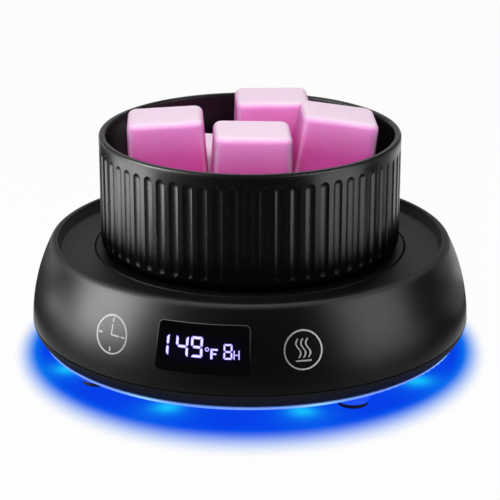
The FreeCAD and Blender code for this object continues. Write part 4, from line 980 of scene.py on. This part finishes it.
class WARMER_OT_signs(bpy.types.Operator):
    """Print the clock and heat signs over the touch keys"""

    bl_idname = "warmer.signs"
    bl_label = "Touch signs"

    def execute(self, context):
        sizes = context.scene.warmer_display
        colours = context.scene.warmer_colours
        # Painted light: the clock ink is the lit copy and the heat ink the shaded copy of one ink.
        clock_ink = printed_ink("clock_ink", colours.clock_sign, 0.55)
        heat_ink = printed_ink("heat_ink", colours.heat_sign, 0.38)
        ring, line = sizes.ring_radius, sizes.line
        thin = line * THIN_LINE
        clock = bmesh.new()
        across, up = -sizes.clock_arc, KEY_HEIGHT
        flat_ring(clock, ring, line, (across, up), RING_STEPS)
        tick_middle = ring - line - TICK_INSET - TICK / 2
        for quarter in range(4):
            angle = quarter * QUARTER_TURN
            place = (across + tick_middle * math.cos(angle), up + tick_middle * math.sin(angle))
            flat_bar(clock, TICK, line, place, angle)
        flat_bar(clock, HAND, thin, (across, up + HAND / 2), QUARTER_TURN)
        flat_bar(clock, HAND, thin, (across + HAND / 2, up))
        new_piece("clock_sign", clock, sizes.film, [clock_ink], "base")
        heat = bmesh.new()
        across = sizes.heat_arc
        flat_ring(heat, ring, line, (across, up), RING_STEPS)
        for aside in (-WAVE_PITCH, 0.0, WAVE_PITCH):
            flat_wave(heat, WAVE, line, WAVE_SWING, (across + aside, up + WAVE_RAISED))
        flat_bar(heat, HEAT_BAR, thin, (across, up - HEAT_BAR_LOWERED))
        new_piece("heat_sign", heat, sizes.film, [heat_ink], "base")
        return {"FINISHED"}


class WARMER_OT_glow(bpy.types.Operator):
    """Light the diffuser and the ring of lamps"""

    bl_idname = "warmer.glow"
    bl_label = "Under-glow"

    def execute(self, context):
        colours = context.scene.warmer_colours
        dress("light_diffuser", frosted_light("lit_diffuser", colours))
        dress("under_glow_leds", lit_print("lamp_light", colours.rim_spot, 1.0))
        return {"FINISHED"}


class WARMER_OT_inner(bpy.types.Operator):
    """Finish what is inside the base and the jack at its back"""

    bl_idname = "warmer.inner"
    bl_label = "Inner pieces"

    def execute(self, context):
        dress_slot("silicone", speckled("silicone", (0.50, 0.50, 0.48), 0.6, 900.0))
        dress_slot("heater_film", heater_film("heater_film", (0.52, 0.20, 0.03), (0.30, 0.28, 0.26)))
        dress_slot("felt", felt("felt", (0.72, 0.69, 0.62)))
        dress_slot("steel", brushed_metal("zinc_steel", (0.58, 0.59, 0.60), 0.34, (1.0, 12.0, 1.0)))
        dress_slot("brass", brushed_metal("brass", (0.78, 0.56, 0.24), 0.25, (1.0, 8.0, 1.0)))
        dress_slot("aluminium_can", brushed_metal("drawn_can", (0.72, 0.73, 0.74), 0.28, (1.0, 1.0, 10.0)))
        dress_slot("fuse_ceramic", speckled("fuse_ceramic", (0.78, 0.74, 0.64), 0.35, 1100.0))
        dress_slot("circuit_board", circuit_board("solder_mask", (0.015, 0.13, 0.05), (0.45, 0.40, 0.12)))
        dress_slot("chip_black", speckled("chip_resin", (0.014, 0.014, 0.015), 0.5, 2400.0, 0.3))
        dress_slot("socket_white", speckled("socket_nylon", (0.74, 0.72, 0.64), 0.45, 1300.0))
        dress_slot("wire_red", speckled("wire_red", (0.42, 0.02, 0.016), 0.4, 1500.0))
        dress_slot("wire_grey", speckled("wire_grey", (0.22, 0.22, 0.23), 0.42, 1500.0))
        dress_slot("foam_black", speckled("foam_black", (0.03, 0.03, 0.033), 0.9, 2600.0, 0.6, 0.8))
        dress_slot("display_block", speckled("display_block", (0.035, 0.035, 0.042), 0.3, 1800.0))
        return {"FINISHED"}


class WARMER_OT_stage(bpy.types.Operator):
    """Set up the floor, the soft boxes, the cloths and cards, and the camera"""

    bl_idname = "warmer.stage"
    bl_label = "Stage"

    def execute(self, context):
        scene = context.scene
        studio = scene.warmer_studio
        scene.view_settings.view_transform = "Standard"
        make_floor(studio, scene.warmer_colours)
        make_room(scene, studio.fill_light)
        for side, place in SOFT_BOXES.items():
            box = soft_box(side + "_box", studio, *place, getattr(studio, side + "_light"))
            box.visible_diffuse = side not in GLOSS_ONLY
            box.visible_glossy = side not in MATT_ONLY
        for name, (start, end, outline) in BLACK_CLOTHS.items():
            cloth = speckled(name, CLOTH_BLACK, 0.95, 700.0, 0.4)
            turned_sheet(name, studio, start, end, outline, CLOTH_LIFT, cloth)
        for name, (start, end, nearest) in WHITE_CARDS.items():
            card = lit_print(name, WHITE, getattr(studio, name))
            turned_sheet(name, studio, start, end, ((nearest, 0.0), (CARD_END, 0.0)), CARD_LIFT, card)
        make_camera(scene, studio)
        return {"FINISHED"}


def make_floor(studio, colours):
    """A pale round floor that turns up into a low wall, with the under-glow on it."""
    bm = bmesh.new()
    bmesh.ops.create_circle(bm, cap_ends=True, radius=FLOOR_RADIUS, segments=128)
    rim = [edge for edge in bm.edges if edge.is_boundary]
    for reach, rise in FLOOR_WALL:
        grown = bmesh.ops.extrude_edge_only(bm, edges=rim)["geom"]
        rim = [item for item in grown if isinstance(item, bmesh.types.BMEdge)]
        for vert in {vert for edge in rim for vert in edge.verts}:
            flat = Vector((vert.co.x, vert.co.y)).normalized() * reach
            vert.co = Vector((flat.x, flat.y, rise))
    bmesh.ops.translate(bm, vec=(0.0, 0.0, -FLOOR_DROP), verts=bm.verts[:])
    floor = mesh_object("studio_floor", bm, [floor_finish(studio, colours)])


def floor_finish(studio, colours):
    """White to the eye and in reflections, with the blue light fading outwards from under the base."""
    finish = Finish("studio_floor")
    radius, angle = finish.round_parts()[:2]
    sideways = finish.math("SINE", angle - studio.azimuth)
    aside = sideways * sideways
    start = studio.glow_start + aside * GLOW_LATER
    end = studio.glow_reach - aside * GLOW_EARLIER
    drawn = angle + sideways * SPOT_DRAWN
    circle = SPOT_CIRCLE + aside * SPOT_WIDER
    core = lamp_spots(finish, radius, drawn, circle, SPOT_CORE)
    haze = lamp_spots(finish, radius, drawn, circle + HAZE_OUTWARDS, SPOT_HAZE)
    blue = finish.mix(core * 0.8 + haze * 0.2, colours.glow, colours.glow_spot)
    fading = radius.step(start - FADE_BEFORE[0], end - FADE_BEFORE[1])
    azure = finish.mix(fading, blue, colours.glow_fade)
    seen = finish.mix(radius.step(start, end), azure, WHITE)
    paper = finish.noise(30.0)
    tone = finish.mix(0.12 + paper * 0.06, seen, BLACK)
    ways = finish.node("ShaderNodeLightPath").outputs
    watched = Value(finish, ways["Is Camera Ray"]) + Value(finish, ways["Is Glossy Ray"])
    watched = (watched + Value(finish, ways["Is Transmission Ray"])).low(1.0)
    matt = finish.node("ShaderNodeBsdfDiffuse", {"Color": tone}).outputs["BSDF"]
    light = finish.node("ShaderNodeEmission", {"Color": seen, "Strength": 1.0}).outputs["Emission"]
    both = finish.node("ShaderNodeMixShader", {0: watched * 0.95, 1: matt, 2: light})
    return finish.out(both.outputs["Shader"])


def make_room(scene, level):
    """A dim even room."""
    scene.world = bpy.data.worlds.new("studio_room")
    scene.world.use_nodes = True
    ground = scene.world.node_tree.nodes["Background"]
    ground.inputs["Color"].default_value = (level, level, level, 1.0)


def around_dish(studio, azimuth, elevation, distance):
    """A place round the dish, its azimuth in degrees from the camera's towards the right."""
    turn = studio.azimuth + math.radians(azimuth)
    rise = math.radians(elevation)
    level = distance * math.cos(rise)
    return Vector((level * math.sin(turn), -level * math.cos(turn), distance * math.sin(rise)))


def soft_box(name, studio, azimuth, elevation, distance, size, brightness):
    """A rectangular soft box that faces the dish."""
    place = around_dish(studio, azimuth, elevation, distance)
    light = bpy.data.lights.new(name, "AREA")
    light.shape = "RECTANGLE"
    light.size, light.size_y = size
    light.energy = brightness * math.pi * size[0] * size[1]
    box = bpy.data.objects.new(name, light)
    box.location = place
    box.rotation_euler = (LIGHT_AIM - place).to_track_quat("-Z", "Y").to_euler()
    box.visible_camera = False
    bpy.context.scene.collection.objects.link(box)
    return box


def turned_sheet(name, studio, start, end, outline, lift, finish):
    """A stage sheet turned about the axis from an outline; only reflections show it."""
    bm = bmesh.new()
    points = [around_dish(studio, start, 0.0, out) + Vector((0.0, 0.0, up + lift)) for out, up in outline]
    verts = [bm.verts.new(point) for point in points]
    edges = [bm.edges.new(pair) for pair in zip(verts, verts[1:])]
    bmesh.ops.spin(bm, geom=verts + edges, cent=(0, 0, 0), axis=(0, 0, 1), angle=math.radians(end - start),
                   steps=SHEET_STEPS)
    sheet = mesh_object(name, bm, [finish])
    sheet.visible_camera = False
    sheet.visible_diffuse = False
    sheet.visible_shadow = False


def make_camera(scene, studio):
    """A long lens that looks down at the display side."""
    camera = bpy.data.objects.new("camera", bpy.data.cameras.new("camera"))
    scene.collection.objects.link(camera)
    camera.data.lens = studio.lens
    camera.data.sensor_width = 36.0
    back = around_dish(studio, 0.0, math.degrees(studio.elevation), 1.0)
    camera.location = Vector((0.0, 0.0, studio.aim_height)) + back * studio.distance
    camera.rotation_euler = (-back).to_track_quat("-Z", "Y").to_euler()
    camera.data.clip_start = 0.01
    camera.data.clip_end = 20.0
    scene.camera = camera


class WARMER_PT_panel(bpy.types.Panel):
    """The warmer's steps and settings"""

    bl_idname = "WARMER_PT_panel"
    bl_label = "Wax Melt Warmer"
    bl_space_type = "VIEW_3D"
    bl_region_type = "UI"
    bl_category = "Warmer"

    def draw(self, context):
        layout = self.layout
        for operator in OPERATORS:
            layout.operator(operator.bl_idname)
        for group in [getattr(context.scene, name) for name in GROUPS]:
            box = layout.box()
            for name in group.__annotations__:
                box.prop(group, name)


OPERATORS = (WARMER_OT_base, WARMER_OT_dish, WARMER_OT_wax, WARMER_OT_display, WARMER_OT_signs,
             WARMER_OT_glow, WARMER_OT_inner, WARMER_OT_stage)
GROUPS = {"warmer_colours": WarmerColours, "warmer_display": DisplaySizes, "warmer_studio": StudioSetup}


def register():
    for group in GROUPS.values():
        bpy.utils.register_class(group)
    for name, group in GROUPS.items():
        setattr(bpy.types.Scene, name, bpy.props.PointerProperty(type=group))
    for made in OPERATORS + (WARMER_PT_panel,):
        bpy.utils.register_class(made)


def unregister():
    for made in (WARMER_PT_panel,) + OPERATORS[::-1]:
        bpy.utils.unregister_class(made)
    for name, group in GROUPS.items():
        delattr(bpy.types.Scene, name)
        bpy.utils.unregister_class(group)


def main():
    register()
    bpy.ops.warmer.base()
    bpy.ops.warmer.dish()
    bpy.ops.warmer.wax()
    bpy.ops.warmer.display()
    bpy.ops.warmer.signs()
    bpy.ops.warmer.glow()
    bpy.ops.warmer.inner()
    bpy.ops.warmer.stage()


if __name__ == "__main__":
    main()
